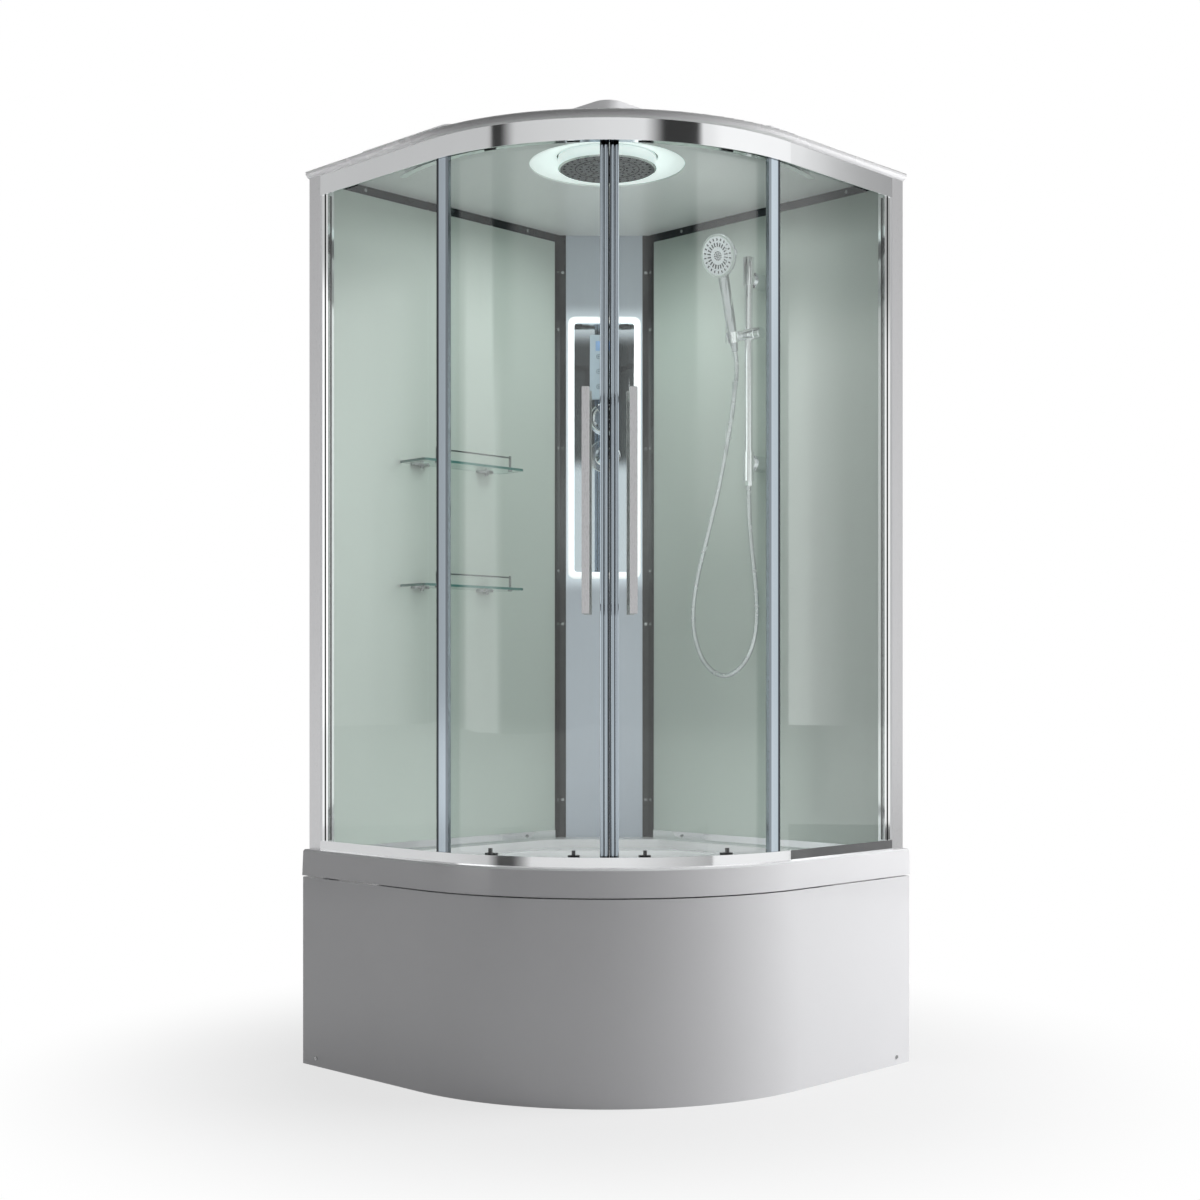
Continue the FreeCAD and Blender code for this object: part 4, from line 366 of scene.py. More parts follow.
# ---------------------------------------------------------------- materials
white_acrylic = gloss_plastic("white_acrylic", (0.78, 0.78, 0.795), 0.22, 0.5)
ceiling_acrylic = gloss_plastic("ceiling_acrylic", (0.80, 0.82, 0.81), 0.42, 0.2)
white_plastic = gloss_plastic("white_plastic", (0.76, 0.77, 0.77), 0.35, 0.1)
panel_plastic = gloss_plastic("panel_plastic", (0.46, 0.56, 0.64), 0.3, 0.3)
frame_steel = matte_plastic("frame_paint", (0.42, 0.43, 0.44), 0.45)
black_plastic = matte_plastic("black_plastic", (0.03, 0.03, 0.032), 0.45)
nozzle_grey = matte_plastic("nozzle_grey", (0.11, 0.118, 0.12), 0.45, 0.12)
spray_grey = matte_plastic("spray_grey", (0.40, 0.43, 0.44), 0.35)
# dark nozzles, also used as painted shade in the rain head's grooves
nozzle_dark_and_groove_shade = matte_plastic("nozzle_dark_and_groove_shade", (0.012, 0.013, 0.013), 0.7, 0.05)
icon_ink = matte_plastic("icon_ink", (0.06, 0.08, 0.11), 0.5)
chrome = polished_metal("chrome", (0.86, 0.87, 0.88), 0.05)
# darker chrome on the hand shower: painted dark reflections
hand_chrome_painted_dark = polished_metal("hand_chrome_painted_dark", (0.50, 0.52, 0.53), 0.05)
mirror_silver = polished_metal("mirror_silver", (0.72, 0.78, 0.85), 0.01)
polished_aluminium = polished_metal("polished_aluminium", (0.84, 0.85, 0.86), 0.07)
# near-black chrome for painted shade on the wall profiles' top, under the ceiling
chrome_painted_shade = polished_metal("chrome_painted_shade", (0.05, 0.055, 0.06), 0.08)
fitting_chrome = polished_metal("fitting_chrome", (0.30, 0.31, 0.31), 0.08)
satin_aluminium = brushed_metal("satin_aluminium", (0.66, 0.66, 0.67), 0.32, UPRIGHT)
handle_metal = brushed_metal("handle_metal", (0.55, 0.55, 0.56), 0.30, UPRIGHT)
brass = brushed_metal("valve_brass", (0.72, 0.55, 0.27), 0.3, (8, 8, 8))
pipe_metal = brushed_metal("supply_pipe", (0.72, 0.72, 0.72), 0.28, (20, 20, 20))
screw_steel = polished_metal("screw_steel", (0.40, 0.41, 0.41), 0.12)
door_glass = clear_glass("clear_glass", (0.93, 0.965, 0.95))
shelf_glass = clear_glass("shelf_glass", (0.78, 0.91, 0.88))
shelf_edge = gloss_plastic("shelf_edge", (0.055, 0.175, 0.155), 0.15, 0.5)
clear_seal = clear_glass("clear_seal", (0.86, 0.90, 0.91), 0.2)
ceiling_glow = lamp(
    opal("ceiling_glow", (0.86, 1.0, 0.96)),
    from_column(0, 0.792, 2.07), near=0.12, far=0.185, high=0.62, low=0.36,
)
display_glow = lamp(
    opal("display_glow", (0.22, 0.42, 0.85), base=(0.22, 0.34, 0.50)),
    from_column(0, PANEL_FACE, 1.776), near=0.004, far=0.024, high=0.55, low=0.2,
)


def back_painted_glass():
    """Rear wall glass, painted pale green on its back, with soft upright bands in its gloss and
    painted reflections as upright lighter bands in its colour
    """
    made = Surface(
        "back_glass", (0.50, 0.57, 0.525), roughness=0.28, Coat_Weight=0.6, Coat_Roughness=0.03,
    )
    # painted reflection: the upright lighter bands in the wall's colour
    made.uneven_colour(1.6, (0.53, 0.60, 0.555), (1.2, 1.2, 0.02))
    made.uneven_gloss(1.5, 0.28, 0.32, (1, 1, 0.02))
    return made.grain(220, 0.00004, strength=0.1).material


def past_mirror(made):
    """How far a column point lies outside the mirror's outline"""
    from_middle = made.math("ABSOLUTE", made.along(ACROSS, ROOM_CORNER))
    aside = made.math("SUBTRACT", from_middle, MIRROR_HALF_WIDTH)
    from_level = made.math("ABSOLUTE", made.along(UP, (0, 0, MIRROR_LEVEL)))
    above = made.math("SUBTRACT", from_level, MIRROR_HALF_HEIGHT)
    return made.math("MAXIMUM", made.math("MAXIMUM", aside, above), 0.0)


def column_metal():
    """Satin column skin with a painted glow beside the lit frame round the mirror, emission standing
    in for the frame's light on it
    """
    made = Surface("column_skin", (0.60, 0.64, 0.71), metallic=1.0, roughness=0.38)
    made.uneven_gloss(60, 0.33, 0.43, UPRIGHT)
    made.uneven_colour(25, (0.58, 0.62, 0.69), UPRIGHT)
    made.grain(1200, 0.00003, UPRIGHT, strength=0.2)
    # painted glow: the skin's emission near the mirror stands in for light from the lit frame
    made.set("Emission Color", (0.86, 0.95, 1.0, 1))
    return made.glow_by(past_mirror(made), 0.008, 0.055, high=0.34, low=0.0).material


def lit_frame():
    """The opal frame, brightest beside the mirror"""
    made = opal("frame_glow", (0.94, 0.98, 1.0))
    return made.glow_by(past_mirror(made), 0.004, 0.017, high=0.86, low=0.45).material


def column_edge_painted_shade():
    """Polished edge profile with painted shade, dark at its top and foot by a ramp on height"""
    made = Surface("column_edge_painted_shade", (0.1, 0.11, 0.11), metallic=1.0, roughness=0.1)
    made.uneven_gloss(60, 0.09, 0.13, UPRIGHT)
    made.grain(900, 0.00002, UPRIGHT, strength=0.1)
    # painted shade: these stops darken the profile at its top and foot
    stops = ((0.5, 0.03), (1.1, 0.03), (1.3, 0.11), (1.75, 0.10), (1.86, 0.025), (2.05, 0.02))
    colours = [(height, (level, level * 1.06, level * 1.06)) for height, level in stops]
    return made.colour_by(made.along(UP, ORIGIN), 0.4, 2.1, colours).material


def jamb_metal():
    """Bright jamb strip and glazing bead with painted shade as a dark line in the gap between them
    """
    made = Surface("jamb_metal", (0.90, 0.92, 0.92), metallic=1.0, roughness=0.06)
    made.uneven_gloss(60, 0.05, 0.07, UPRIGHT)
    made.grain(900, 0.00002, UPRIGHT, strength=0.1)
    # the distance from the cabin's middle towards whichever wall the profile stands at
    to_wall = made.math("MAXIMUM", made.along((-1, 0, 0), ORIGIN), made.along((0, 1, 0), ORIGIN))
    # the dark stops are painted shade in the gap between strip and bead
    stops = (
        (0.4332, 0.92), (0.4412, 0.90), (0.4418, 0.06),
        (0.4446, 0.06), (0.4452, 0.92), (0.458, 0.94),
    )
    colours = [(reach, (level, level * 1.015, level * 1.015)) for reach, level in stops]
    return made.colour_by(to_wall, 0.43, 0.46, colours).material


def lip_acrylic():
    """Ceiling sheet's front lip, shaded as the rolled edge it is"""
    made = Surface(
        "lip_acrylic", (0.80, 0.80, 0.81), roughness=0.25, Coat_Weight=0.4, Coat_Roughness=0.05,
    )
    made.uneven_gloss(14, 0.21, 0.30)
    made.uneven_colour(5, (0.785, 0.785, 0.795))
    return made.crown(made.along(UP, ORIGIN), LIP_LEVEL, LIP_HEIGHT, 0.75).material


def grooved_metal(name, *stops):
    """An extruded profile with painted shade in its grooves; stops are (front angle, grey level)"""
    made = Surface(name, (0.6, 0.62, 0.64), metallic=1.0, roughness=0.12)
    made.uneven_gloss(60, 0.1, 0.15, UPRIGHT)
    made.grain(1200, 0.00002, UPRIGHT, strength=0.12)
    colours = [(angle, (level * 0.86, level * 0.98, level * 1.08)) for angle, level in stops]
    low, high = stops[0][0] - 0.1, stops[-1][0] + 0.1
    return made.colour_by(made.front_angle(), low, high, colours).material


back_glass = back_painted_glass()
column_skin = column_metal()
frame_glow = lit_frame()
edge_painted_shade = column_edge_painted_shade()
jamb = jamb_metal()
roof_lip = lip_acrylic()
# the darkest stops below are painted shade in the profiles' grooves
closing_metal = grooved_metal(
    "closing_metal", (0.1, 0.01), (0.22, 0.015), (0.3, 0.22), (0.44, 0.32), (0.62, 0.50),
    (1.04, 0.46), (1.10, 0.13), (1.30, 0.13), (1.38, 0.44), (2.2, 0.50),
)
end_metal = grooved_metal(
    "end_metal", (38.2, 0.28), (39.0, 0.30), (39.15, 0.62), (41.1, 0.58), (41.3, 0.07),
    (42, 0.06),
)


def dress(material, *names):
    for name in names:
        mesh = nodes[name].data
        mesh.materials.clear()
        mesh.materials.append(material)


def dress_part(name, material, test):
    """Another material on the faces of a node whose centres pass a test"""
    mesh = nodes[name].data
    mesh.materials.append(material)
    index = len(mesh.materials) - 1
    for face in mesh.polygons:
        if test(face.center):
            face.material_index = index


def front_radius(point):
    return (Vector((point.x, point.y, 0)) - FRONT_CENTRE).length


def corner_reach(point):
    """Distance from the room corner in plan"""
    return (Vector((point.x, point.y, 0)) - ROOM_CORNER).length


def front_angle(point):
    """Degrees from the diagonal about the front's centre, without a sign"""
    ray = Vector((point.x, point.y, 0)) - FRONT_CENTRE
    return math.degrees(abs(math.atan2(ray.dot(ACROSS), ray.dot(DIAGONAL))))


def on_lip(point):
    return front_radius(point) > LIP_RADIUS and point.z < LIP_TOP


def on_shelf_edge(point):
    low, high = SHELF_EDGE
    return low < (point.z - LOWER_SHELF_LEVEL) % SHELF_SPACING < high


def dress_nodes():
    dress(white_acrylic, "tray", "skirt", "roof_cover")
    dress(ceiling_acrylic, "roof")
    dress_part("roof", roof_lip, on_lip)
    dress(frame_steel, "support_frame")
    dress(pipe_metal, "feet", "supply_pipes")
    dress_part("feet", black_plastic, lambda p: p.z < FOOT_PAD_TOP)
    dress(white_plastic, "drain", "column_cap")
    dress_part("drain", chrome, lambda p: p.z > DRAIN_COVER_LEVEL)
    dress(polished_aluminium, "bottom_rail", "top_rail", "wall_profiles")
    dress_part("wall_profiles", edge_painted_shade, lambda p: corner_reach(p) < COLUMN_EDGE_REACH)
    # painted shade: the profiles' faces above the ceiling line take the near-black chrome
    dress_part("wall_profiles", chrome_painted_shade, lambda p: p.z > CEILING_PROFILE_LEVEL)
    dress(satin_aluminium, "left_post", "right_post")
    dress(back_glass, "left_wall", "right_wall")
    dress(screw_steel, "screws")
    dress(column_skin, "column_panel")
    dress(frame_glow, "light_frame")
    dress(ceiling_glow, "ceiling_light")
    dress(mirror_silver, "mirror")
    dress(panel_plastic, "control_panel")
    dress(chrome, "mixer_plate", "mixer_lever", "diverter_knob", "rain_head")
    dress(chrome, "riser_rail", "slider", "slider_knob", "holder")
    dress(hand_chrome_painted_dark, "handset")
    dress(fitting_chrome, "shelf_fittings")
    dress(brass, "valve_body")
    dress(black_plastic, "power_box")
    dress(nozzle_grey, "rain_face")
    dress(spray_grey, "spray_face")
    dress(shelf_glass, "shelves")
    dress_part("shelves", shelf_edge, on_shelf_edge)
    for number in range(1, 7):
        dress(panel_plastic, f"key_{number}")
    for side in ("left", "right"):
        dress(door_glass, f"{side}_fixed_glass", f"{side}_door_glass")
        dress(handle_metal, f"{side}_handle")
        dress(black_plastic, f"{side}_carriers")
        dress_part(f"{side}_carriers", chrome, lambda p: front_radius(p) > CARRIER_CAP_RADIUS)
        dress(white_plastic, f"{side}_roller_back", f"{side}_roller_front")
        dress(jamb, f"{side}_glass_profiles")
        dress_part(
            f"{side}_glass_profiles", end_metal, lambda p: front_angle(p) < PANE_END_ANGLE,
        )
        dress(closing_metal, f"{side}_door_profiles")
        dress_part(
            f"{side}_door_profiles", clear_seal, lambda p: front_angle(p) > TRAILING_SEAL_ANGLE,
        )


dress_nodes()


# ---------------------------------------------------------------- mesh helpers
def add_piece(name, mesh, body, material):
    piece = bpy.data.objects.new(name, mesh)
    bpy.context.collection.objects.link(piece)
    mesh.materials.append(material)
    if body is not None:
        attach(piece, body)
    return piece


def mesh_of(bm, name, smooth=True):
    mesh = bpy.data.meshes.new(name)
    bm.to_mesh(mesh)
    bm.free()
    for face in mesh.polygons:
        face.use_smooth = smooth
    return mesh


def circle(middle, axes, radius, steps):
    """Points at even angles on a circle in the plane of the first two directions"""
    side_a, side_b = axes[:2]
    for step in range(steps):
        angle = 2 * math.pi * step / steps
        yield middle + side_a * (radius * math.cos(angle)) + side_b * (radius * math.sin(angle))


def stud(bm, place, axes, radii, height):
    """A small tapered stud at a place; axes are its two side directions and its normal"""
    rings = []
    for radius, level in ((radii[0], 0.0), (radii[1], height)):
        points = circle(place, axes, radius, STUD_SIDES)
        rings.append([bm.verts.new(point + axes[2] * level) for point in points])
    for step in range(STUD_SIDES):
        following = (step + 1) % STUD_SIDES
        bm.faces.new((rings[0][step], rings[0][following], rings[1][following], rings[1][step]))
    bm.faces.new(rings[1])
    bm.faces.new(list(reversed(rings[0])))


def band(bm, middle, axes, inner, outer, height, steps):
    """A thin flat ring"""
    lift = axes[2]
    loops = []
    for radius, level in ((inner, 0.0), (inner, height), (outer, height), (outer, 0.0)):
        points = circle(middle, axes, radius, steps)
        loops.append([bm.verts.new(point + lift * level) for point in points])
    for index in range(4):
        here, there = loops[index], loops[(index + 1) % 4]
        for step in range(steps):
            following = (step + 1) % steps
            bm.faces.new((here[step], here[following], there[following], there[step]))


def strip(bm, middle, axes, length, width, height):
    """A thin flat bar along the first side direction"""
    side_a, side_b, normal = axes
    corners = []
    for level in (0.0, height):
        for along, over in ((-1, -1), (1, -1), (1, 1), (-1, 1)):
            offset = side_a * (along * length / 2) + side_b * (over * width / 2)
            corners.append(bm.verts.new(middle + offset + normal * level))
    for face in ((0, 1, 2, 3), (4, 5, 6, 7), (0, 1, 5, 4), (1, 2, 6, 5), (2, 3, 7, 6), (3, 0, 4, 7)):
        bm.faces.new([corners[index] for index in face])


# ---------------------------------------------------------------- shower hose
# the hose's course between its ends: (along the right wall, off that wall, height)
HOSE_SHOWN = [
    (0.571, 0.124, 1.598),
    (0.561, 0.124, 1.530),
    (0.540, 0.122, 1.446),
    (0.510, 0.119, 1.345),
    (0.474, 0.116, 1.240),
    (0.440, 0.113, 1.150),
    (0.420, 0.110, 1.058),
    (0.429, 0.108, 0.985),
    (0.460, 0.106, 0.925),
    (0.522, 0.105, 0.893),
    (0.584, 0.103, 0.925),
    (0.616, 0.101, 0.985),
    (0.623, 0.099, 1.058),
    (0.613, 0.096, 1.140),
    (0.598, 0.093, 1.225),
]


def hose_points():
    top = hand_point(CUP_OUT, -0.034)
    down = Matrix.Rotation(HAND_TILT, 3, "X") @ Vector((0, 0, -1))
    shown = [Vector((-HALF + along, HALF - off, z)) for along, off, z in HOSE_SHOWN]
    nut = Vector((0.088, 0.41, 1.366))
    return [top, top + down * 0.04] + shown + [nut - UP * 0.06, nut]


def smooth_line(points):
    """Points read from a NURBS spline that has the given control points"""
    curve = bpy.data.curves.new("hose_line", "CURVE")
    curve.dimensions = "3D"
    curve.resolution_u = 24
    spline = curve.splines.new("NURBS")
    spline.points.add(len(points) - 1)
    for target, point in zip(spline.points, points):
        target.co = (*point, 1)
    spline.order_u = 3
    spline.use_endpoint_u = True
    holder = bpy.data.objects.new("hose_line", curve)
    bpy.context.collection.objects.link(holder)
    bpy.context.view_layer.update()
    graph = bpy.context.evaluated_depsgraph_get()
    mesh = bpy.data.meshes.new_from_object(holder.evaluated_get(graph))
    line = [vertex.co.copy() for vertex in mesh.vertices]
    bpy.data.objects.remove(holder)
    bpy.data.curves.remove(curve)
    bpy.data.meshes.remove(mesh)
    return line


def length_of(line):
    return sum((b - a).length for a, b in zip(line, line[1:]))


def evenly(line, step):
    """The line's points again, at even distances"""
    total = length_of(line)
    count = max(2, round(total / step))
    result = [line[0].copy()]
    walked = 0.0
    target = total / count
    for start, end in zip(line, line[1:]):
        length = (end - start).length
        while length > 0 and walked + length >= target - 1e-9 and len(result) < count:
            result.append(start.lerp(end, (target - walked) / length))
            target += total / count
        walked += length
    result.append(line[-1].copy())
    return result


def tube_mesh(line, radius, rib_depth, rib_every, sides=16):
    """A tube round a line, with fine ribs, and its length written to the UV map"""
    bm = bmesh.new()
    uv = bm.loops.layers.uv.new("UVMap")
    normal = Vector((0, 1, 0))
    rings = []
    lengths = []
    walked = 0.0
    for index, point in enumerate(line):
        before = line[max(index - 1, 0)]
        after = line[min(index + 1, len(line) - 1)]
        ahead = (after - before).normalized()
        normal = (normal - ahead * normal.dot(ahead)).normalized()
        side = ahead.cross(normal)
        if index:
            walked += (point - line[index - 1]).length
        phase = (index % rib_every) / rib_every
        here = radius - rib_depth * (0.5 - 0.5 * math.cos(2 * math.pi * phase))
        row = []
        for step in range(sides):
            angle = 2 * math.pi * step / sides
            offset = normal * (here * math.cos(angle)) + side * (here * math.sin(angle))
            row.append(bm.verts.new(point + offset))
        rings.append(row)
        lengths.append(walked)
    for index in range(len(rings) - 1):
        for step in range(sides):
            following = (step + 1) % sides
            here, there = rings[index], rings[index + 1]
            face = bm.faces.new((here[step], here[following], there[following], there[step]))
            around = (step / sides, (step + 1) / sides, (step + 1) / sides, step / sides)
            along = (lengths[index], lengths[index], lengths[index + 1], lengths[index + 1])
            for loop, u, v in zip(face.loops, around, along):
                loop[uv].uv = (u, v)
    bm.faces.new(list(reversed(rings[0])))
    bm.faces.new(rings[-1])
    bmesh.ops.recalc_face_normals(bm, faces=bm.faces)
    return mesh_of(bm, "hose")


def hose_metal():
    made = Surface("hose_metal", (0.66, 0.68, 0.69), metallic=1.0, roughness=0.22)
    made.uneven_gloss(80, 0.18, 0.3)
    return made.grain(900, 0.00004, strength=0.2).material


def make_hose():
    """The hose in four lengths, so that each bends across one joint only"""
    line = evenly(smooth_line(hose_points()), HOSE_STEP)
    metal = hose_metal()
    lowest = min(range(len(line)), key=lambda index: line[index].z)
    cuts = [0, HOSE_TOP_END, HOSE_NECK_END, lowest, len(line) - 1]
    names = ("hose_top", "hose_neck", "hose_fall", "hose_rise")
    pairs = (("handset", "holder"), ("holder", "slider"), ("slider", "cabin"), None)
    for index, name in enumerate(names):
        run = line[cuts[index]:cuts[index + 1] + 1]
        mesh = tube_mesh(run, HOSE_DIAMETER / 2, HOSE_RIB_DEPTH, HOSE_RIB_STEPS)
        mesh.name = name
        piece = add_piece(name, mesh, None, metal)
        if pairs[index] is None:
            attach(piece, "cabin")
        else:
            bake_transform(piece)
    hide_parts("hose")
    print("hose length", round(length_of(line), 3))


make_hose()


# ---------------------------------------------------------------- shower faces
def rain_nozzles():
    """Rings of studs under the rain head, and dark raised strips of painted shade for its grooves"""
    axes = (ACROSS, DIAGONAL, -UP)
    low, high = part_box("rain_face")
    middle = Vector(((low.x + high.x) / 2, (low.y + high.y) / 2, low.z + 0.0001))
    bm = bmesh.new()
    rows = ((0.014, 5), (0.030, 10), (0.046, 15), (0.061, 20), (0.083, 26), (0.098, 30))
    for radius, count in rows:
        for step in range(count):
            angle = 2 * math.pi * (step + 0.5 * (count % 4)) / count
            ray = ACROSS * (radius * math.cos(angle)) + DIAGONAL * (radius * math.sin(angle))
            stud(bm, middle + ray, axes, (0.0033, 0.0026), 0.0010)
    add_piece("rain_nozzles", mesh_of(bm, "rain_nozzles"), "cabin", nozzle_dark_and_groove_shade)
    # painted shade: dark strips stand where the face has grooves
    grooves = bmesh.new()
    for inner in (0.0375, 0.0715):
        band(grooves, middle, axes, inner, inner + 0.0022, MARK_HEIGHT, 80)
    for turn in (20, 140, 260):
        angle = math.radians(turn)
        ray = ACROSS * math.cos(angle) + DIAGONAL * math.sin(angle)
        spoke_axes = (ray, ray.cross(axes[2]), axes[2])
        strip(grooves, middle + ray * 0.0555, spoke_axes, 0.0315, 0.0018, MARK_HEIGHT)
    mesh = mesh_of(grooves, "rain_groove_shade", False)
    add_piece("rain_groove_shade", mesh, "cabin", nozzle_dark_and_groove_shade)


def spray_nozzles():
    """Radial slots round a dotted middle on the hand shower's face"""
    foot = hand_point(CUP_OUT, 0)
    out = (hand_point(0.048, 0) - foot).normalized()
    upward = (hand_point(CUP_OUT, 0.01) - foot).normalized()
    sideways = Vector((1, 0, 0))
    axes = (sideways, upward, out)
    middle = hand_point(CUP_OUT + 0.01, 0.198) + out * 0.0001
    bm = bmesh.new()
    for radius, count in ((0.0, 1), (0.005, 6), (0.0098, 12)):
        for place in circle(middle, axes, radius, count):
            stud(bm, place, axes, (0.0019, 0.0015), 0.0006)
    for radius, count, length in ((0.0265, 22, 0.010), (0.0390, 22, 0.006)):
        for step in range(count):
            angle = 2 * math.pi * step / count
            ray = sideways * math.cos(angle) + upward * math.sin(angle)
            strip(bm, middle + ray * radius, (ray, out.cross(ray), out), length, 0.0032, 0.0006)
    mesh = mesh_of(bm, "spray_nozzles", False)
    add_piece("spray_nozzles", mesh, "spray_face", nozzle_dark_and_groove_shade)
    rim = bmesh.new()
    band(rim, middle - out * 0.0011, axes, 0.0462, 0.0512, 0.0006, 80)
    mesh = mesh_of(rim, "spray_rim", False)
    add_piece("spray_rim", mesh, "spray_face", chrome)


rain_nozzles()
spray_nozzles()


# ---------------------------------------------------------------- control panel
def key_icons():
    """A ring and a small mark printed on each key"""
    axes = COLUMN_AXES
    upright_axes = (UP, ACROSS, DIAGONAL)
    for number in range(1, 7):
        low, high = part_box(f"key_{number}")
        centre = (low + high) / 2
        face = centre + DIAGONAL * 0.0014
        bm = bmesh.new()
        band(bm, face, axes, 0.0049, 0.0061, MARK_HEIGHT, 36)
        if number % 3 == 1:
            for mark_axes in (axes, upright_axes):
                strip(bm, face, mark_axes, 0.0056, 0.0013, MARK_HEIGHT)
        elif number % 3 == 2:
            for level in (-0.0018, 0.0, 0.0018):
                strip(bm, face + UP * level, axes, 0.0052, 0.0009, MARK_HEIGHT)
        else:
            strip(bm, face, axes, 0.0046, 0.0024, MARK_HEIGHT)
        mesh = mesh_of(bm, "key_mark", False)
        add_piece(f"key_mark_{number}", mesh, f"key_{number}", icon_ink)


def display():
    """A lit window at the top of the control panel"""
    face = from_column(0, PANEL_FACE + 0.0002, 1.768)
    bm = bmesh.new()
    strip(bm, face, COLUMN_AXES, 0.0455, 0.0255, 0.0005)
    mesh = mesh_of(bm, "display_window", False)
    add_piece("display_window", mesh, "cabin", display_glow)


key_icons()
display()


# ---------------------------------------------------------------- floor, world and lamps
def make_floor():
    """A pale floor that keeps a soft shadow and turns white away from the object"""
    bpy.ops.mesh.primitive_plane_add(size=60, location=(0, 0, -0.0005))
    floor = bpy.context.object
    floor.name = "floor"
    made = Surface("floor", (0.55, 0.55, 0.555), roughness=0.7, Specular_IOR_Level=0.15)
    coords = made.node("ShaderNodeTexCoord")
    reach = made.node("ShaderNodeVectorMath")
    reach.operation = "LENGTH"
    made.link(coords.outputs["Object"], reach.inputs[0])
    fade = fade_node(made.tree, reach.outputs["Value"], 0.6, 1.5, 0.72, 1.0)
    rays = made.node("ShaderNodeLightPath").outputs
    seen = made.math("MAXIMUM", rays["Is Camera Ray"], rays["Is Glossy Ray"])
    seen = made.math("MAXIMUM", seen, rays["Is Transmission Ray"])
    white = made.node("ShaderNodeEmission", Strength=1.0)
    mix = made.node("ShaderNodeMixShader")
    made.link(made.math("MULTIPLY", seen, fade), mix.inputs[0])
    made.link(made.shader.outputs[0], mix.inputs[1])
    made.link(white.outputs[0], mix.inputs[2])
    made.link(mix.outputs[0], made.tree.nodes["Material Output"].inputs["Surface"])
    floor.data.materials.append(made.material)


class Sky:
    """The studio around the object: pale, with a few dark gaps between its screens"""

    def __init__(self):
        world = bpy.data.worlds.new("studio")
        bpy.context.scene.world = world
        world.use_nodes = True
        self.tree = world.node_tree
        self.tree.nodes.clear()
        coords = self.tree.nodes.new("ShaderNodeTexCoord")
        split = self.tree.nodes.new("ShaderNodeSeparateXYZ")
        self.tree.links.new(coords.outputs["Generated"], split.inputs[0])
        heading = self.math("ARCTAN2", split.outputs["Y"], split.outputs["X"])
        turned = self.math("ADD", heading, math.radians(DIAGONAL_TURN))
        wrapped = self.math("WRAP", turned, math.pi, -math.pi)
        self.azimuth = self.math("DEGREES", wrapped)
        self.elevation = self.math("DEGREES", self.math("ARCSINE", split.outputs["Z"]))

    def math(self, operation, *values):
        return math_node(self.tree, operation, *values)

    def inside(self, value, middle, reach, soft):
        """1 within a reach of the middle, falling to 0 over the soft edge"""
        away = self.math("ABSOLUTE", self.math("SUBTRACT", value, middle))
        return fade_node(self.tree, away, reach, reach + soft, 1.0, 0.0)

    def ramp(self, value, *stops):
        """A level that runs straight between (degrees, level) stops"""
        place = self.math("DIVIDE", self.math("ADD", value, 180), 360)
        placed = [((degrees + 180) / 360, (level, level, level)) for degrees, level in stops]
        return self.math("ADD", ramp_node(self.tree, place, placed), 0.0)

    def darken(self, light, share, azimuth, elevation):
        """Takes a share of the light away in a soft-edged patch; a negative share adds light"""
        across = self.inside(self.azimuth, *azimuth)
        patch = self.math("MULTIPLY", across, self.inside(self.elevation, *elevation))
        left = self.math("SUBTRACT", 1.0, self.math("MULTIPLY", patch, share))
        return self.math("MULTIPLY", light, left)

    def background(self, colour=(1, 1, 1)):
        made = self.tree.nodes.new("ShaderNodeBackground")
        made.inputs["Color"].default_value = (*colour, 1)
        made.inputs["Strength"].default_value = 1.0
        return made

    def mix(self, share, first, second):
        made = self.tree.nodes.new("ShaderNodeMixShader")
        self.tree.links.new(share, made.inputs[0])
        self.tree.links.new(first.outputs[0], made.inputs[1])
        self.tree.links.new(second.outputs[0], made.inputs[2])
        return made

    def finish(self, light):
        """White to the eye, the studio in mirrors, and a plain ambient light for the rest"""
        studio = self.background()
        colour = self.tree.nodes.new("ShaderNodeCombineColor")
        for channel in colour.inputs[:3]:
            self.tree.links.new(light, channel)
        self.tree.links.new(colour.outputs[0], studio.inputs["Color"])
        plain = self.background((AMBIENT, AMBIENT, AMBIENT * 1.02))
        white = self.background()
        rays = self.tree.nodes.new("ShaderNodeLightPath").outputs
        direct = self.math("LESS_THAN", rays["Glossy Depth"], 0.5)
        through = self.math("MULTIPLY", rays["Is Transmission Ray"], direct)
        seen = self.math("MAXIMUM", rays["Is Camera Ray"], through)
        mirrored = self.math("MAXIMUM", rays["Is Glossy Ray"], rays["Is Transmission Ray"])
        mixed = self.mix(seen, self.mix(mirrored, plain, studio), white)
        output = self.tree.nodes.new("ShaderNodeOutputWorld")
        self.tree.links.new(mixed.outputs[0], output.inputs["Surface"])


# azimuths are degrees from the cabin's diagonal, growing to the right as one looks at its front
STUDIO_LEVELS = (
    (-150, 0.3), (-112, 0.3), (-106, 0.6), (-60, 0.62), (0, 0.84), (50, 0.95), (97.1, 0.93),
    (97.6, 0.5), (101, 0.34), (150, 0.3),
)
# dark bands at the height that the top rail mirrors
BAND_HEIGHT = (18, 6, 4)
STUDIO_BANDS = (
    ((17, 1), (26, 0.05), (43.4, 0.05), (44, 1)),
    ((-56.4, 1), (-55.6, 0.05), (-50.5, 0.08), (-44, 1)),
)
# patches: share of the light taken away, then middle, reach and soft edge in azimuth and in
# elevation; the last two are the ones that the flat faces of the posts and jambs mirror
STUDIO_PATCHES = (
    (0.95, (0.6, 4, 3), (9.15, 1.7, 0.6)),
    (-2.2, (-64, 8, 4), (3, 8, 4)),
    (-0.5, (60, 12, 8), (10, 3.5, 3)),
    (-0.16, (74, 18, 8), (17, 4, 3)),
    (-1.0, (-98.4, 2.2, 1.2), (-6, 18, 1.5)),
    (-1.3, (101, 4, 3), (-6, 16, 3)),
)
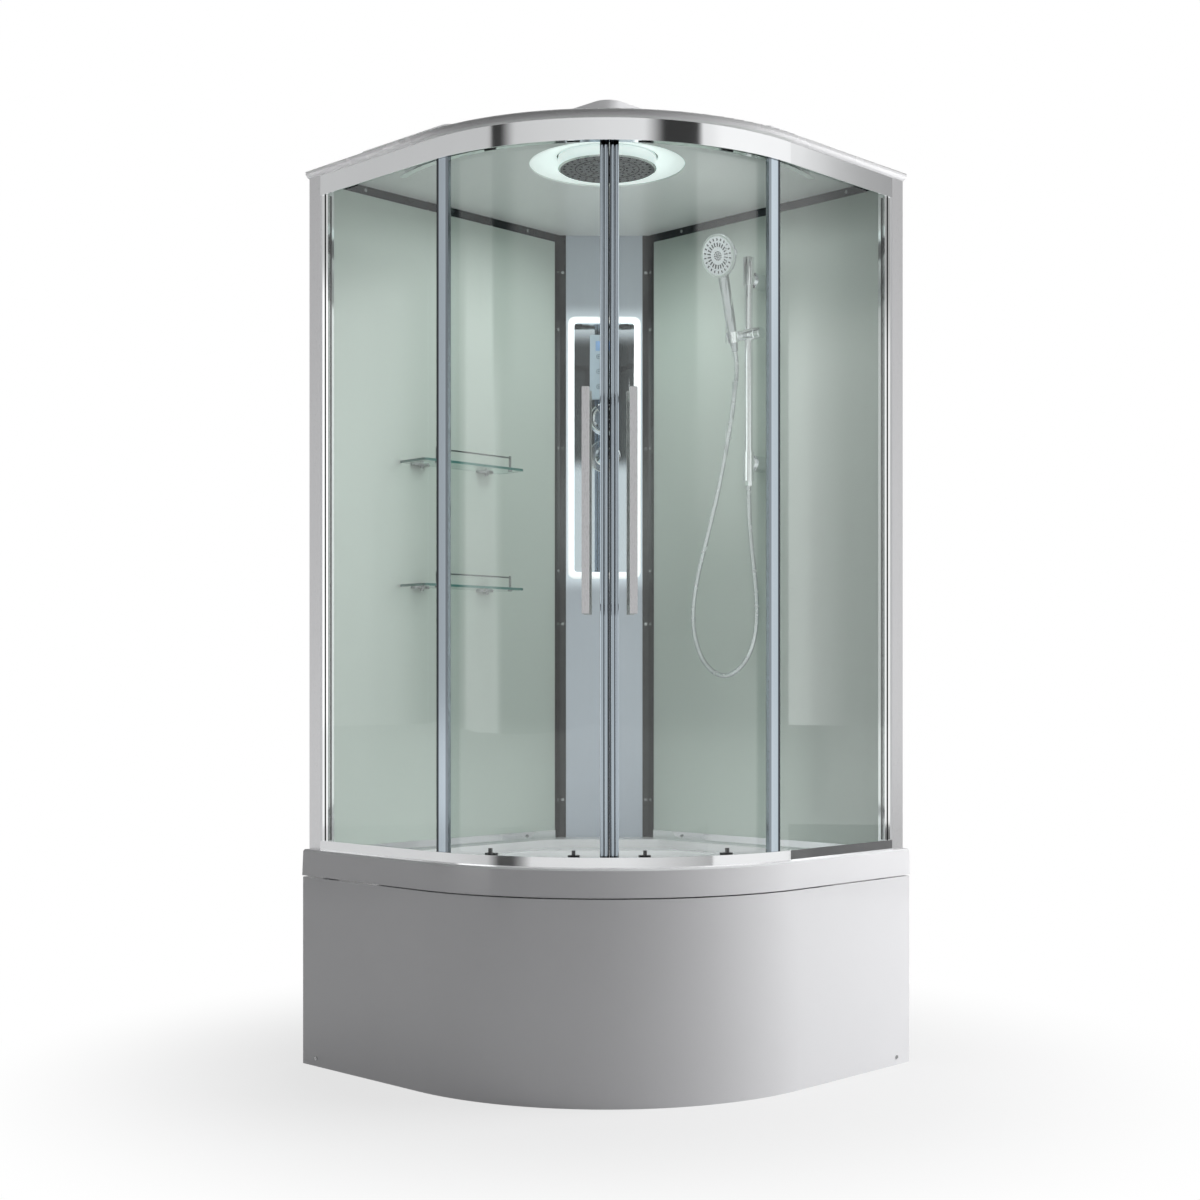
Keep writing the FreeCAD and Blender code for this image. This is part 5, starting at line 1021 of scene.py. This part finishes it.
# screens: first and last azimuth, distance, height, and (share of the length, level) stops
SCREENS = (
    (-125, -80, 4.2, 0.3, ((0, 0.70), (1, 0.74))),
    (
        -80, -34, 4.2, 0.3,
        ((0, 0.74), (0.54, 0.62), (0.66, 0.06), (0.80, 0.05), (0.90, 0.35), (1, 0.8)),
    ),
    (-34, 47.7, 4.2, 0.3, ((0, 0.8), (0.5, 0.86), (1, 0.42))),
    (90, 108, 4.0, 0.3, ((0, 0.12), (0.5, 0.16), (1, 0.3))),
)


def make_world():
    sky = Sky()
    light = sky.ramp(sky.azimuth, *STUDIO_LEVELS)
    high = sky.inside(sky.elevation, *BAND_HEIGHT)
    for stops in STUDIO_BANDS:
        shaded = sky.math("MULTIPLY", high, sky.ramp(sky.azimuth, *stops))
        level = sky.math("ADD", shaded, sky.math("SUBTRACT", 1.0, high))
        light = sky.math("MULTIPLY", light, level)
    for patch in STUDIO_PATCHES:
        light = sky.darken(light, *patch)
    sky.finish(light)


def towards(azimuth, elevation=0.0):
    """The direction of an azimuth from the cabin's diagonal and an elevation"""
    heading = math.radians(azimuth - DIAGONAL_TURN)
    lift = math.radians(elevation)
    flat = math.cos(lift)
    return Vector((math.cos(heading) * flat, math.sin(heading) * flat, math.sin(lift)))


def screen(start, end, distance, height, levels):
    """A studio screen that stands on the floor and is seen only in mirrors"""
    first, last = towards(start) * distance, towards(end) * distance
    rise = UP * height
    bm = bmesh.new()
    bm.faces.new([bm.verts.new(corner) for corner in (first, last, last + rise, first + rise)])
    made = bpy.data.objects.new("screen", mesh_of(bm, "screen", False))
    bpy.context.collection.objects.link(made)
    cloth = Surface("screen_cloth", (0.02, 0.02, 0.02), roughness=0.9)
    span = last - first
    share = cloth.math("DIVIDE", cloth.along(span.normalized(), first), span.length)
    stops = [(place, (level, level, level)) for place, level in levels]
    cloth.link(ramp_node(cloth.tree, share, stops), cloth.shader.inputs["Emission Color"])
    cloth.set("Emission Strength", 1.0)
    made.data.materials.append(cloth.material)
    made.visible_camera = False
    made.visible_transmission = False
    made.visible_diffuse = False
    made.visible_shadow = False


def soft_box(name, place, away, size, power, spread=180):
    """A rectangular lamp that shines against a direction and isn't seen in mirrors or panes

    A narrow spread makes the lamp far brighter on its axis for the same power.
    """
    data = bpy.data.lights.new(name, "AREA")
    data.shape = "RECTANGLE"
    data.size, data.size_y = size
    data.energy = power
    data.spread = math.radians(spread)
    made = bpy.data.objects.new(name, data)
    made.visible_camera = False
    made.visible_glossy = False
    made.visible_transmission = False
    made.location = place
    made.rotation_euler = away.to_track_quat("Z", "Y").to_euler()
    bpy.context.collection.objects.link(made)


def studio_lamp(name, azimuth, elevation, distance, size, power):
    """A soft box at an azimuth from the cabin's diagonal, aimed at the cabin's middle"""
    away = towards(azimuth, elevation)
    soft_box(name, UP * CABIN_MIDDLE + away * distance, away, size, power)


make_floor()
make_world()
for placing in SCREENS:
    screen(*placing)
studio_lamp("key_lamp", 90, 20, 4.0, (2.4, 2.4), 180)
studio_lamp("top_lamp", 0, 82, 3.5, (3.0, 3.0), 30)
studio_lamp("back_lamp", 180, 40, 4.5, (2.5, 2.5), 30)
soft_box("cabin_lamp", from_column(0, 0.70, 2.02), UP, (0.5, 0.5), 3.0)
soft_box(
    "lip_lamp", Vector((-0.42, -1.20, 2.15)), Vector((-0.05, -0.70, 0.10)), (0.6, 0.1), 0.16,
    spread=24,
)
soft_box("basin_lamp", from_column(0, 0.72, 0.80), UP, (0.5, 0.5), 1.0)
soft_box("side_lamp", Vector((0.34, 0.10, 1.15)), Vector((1, 0.25, 0)), (0.22, 1.5), 2.6)

bpy.context.scene.view_settings.view_transform = "Standard"
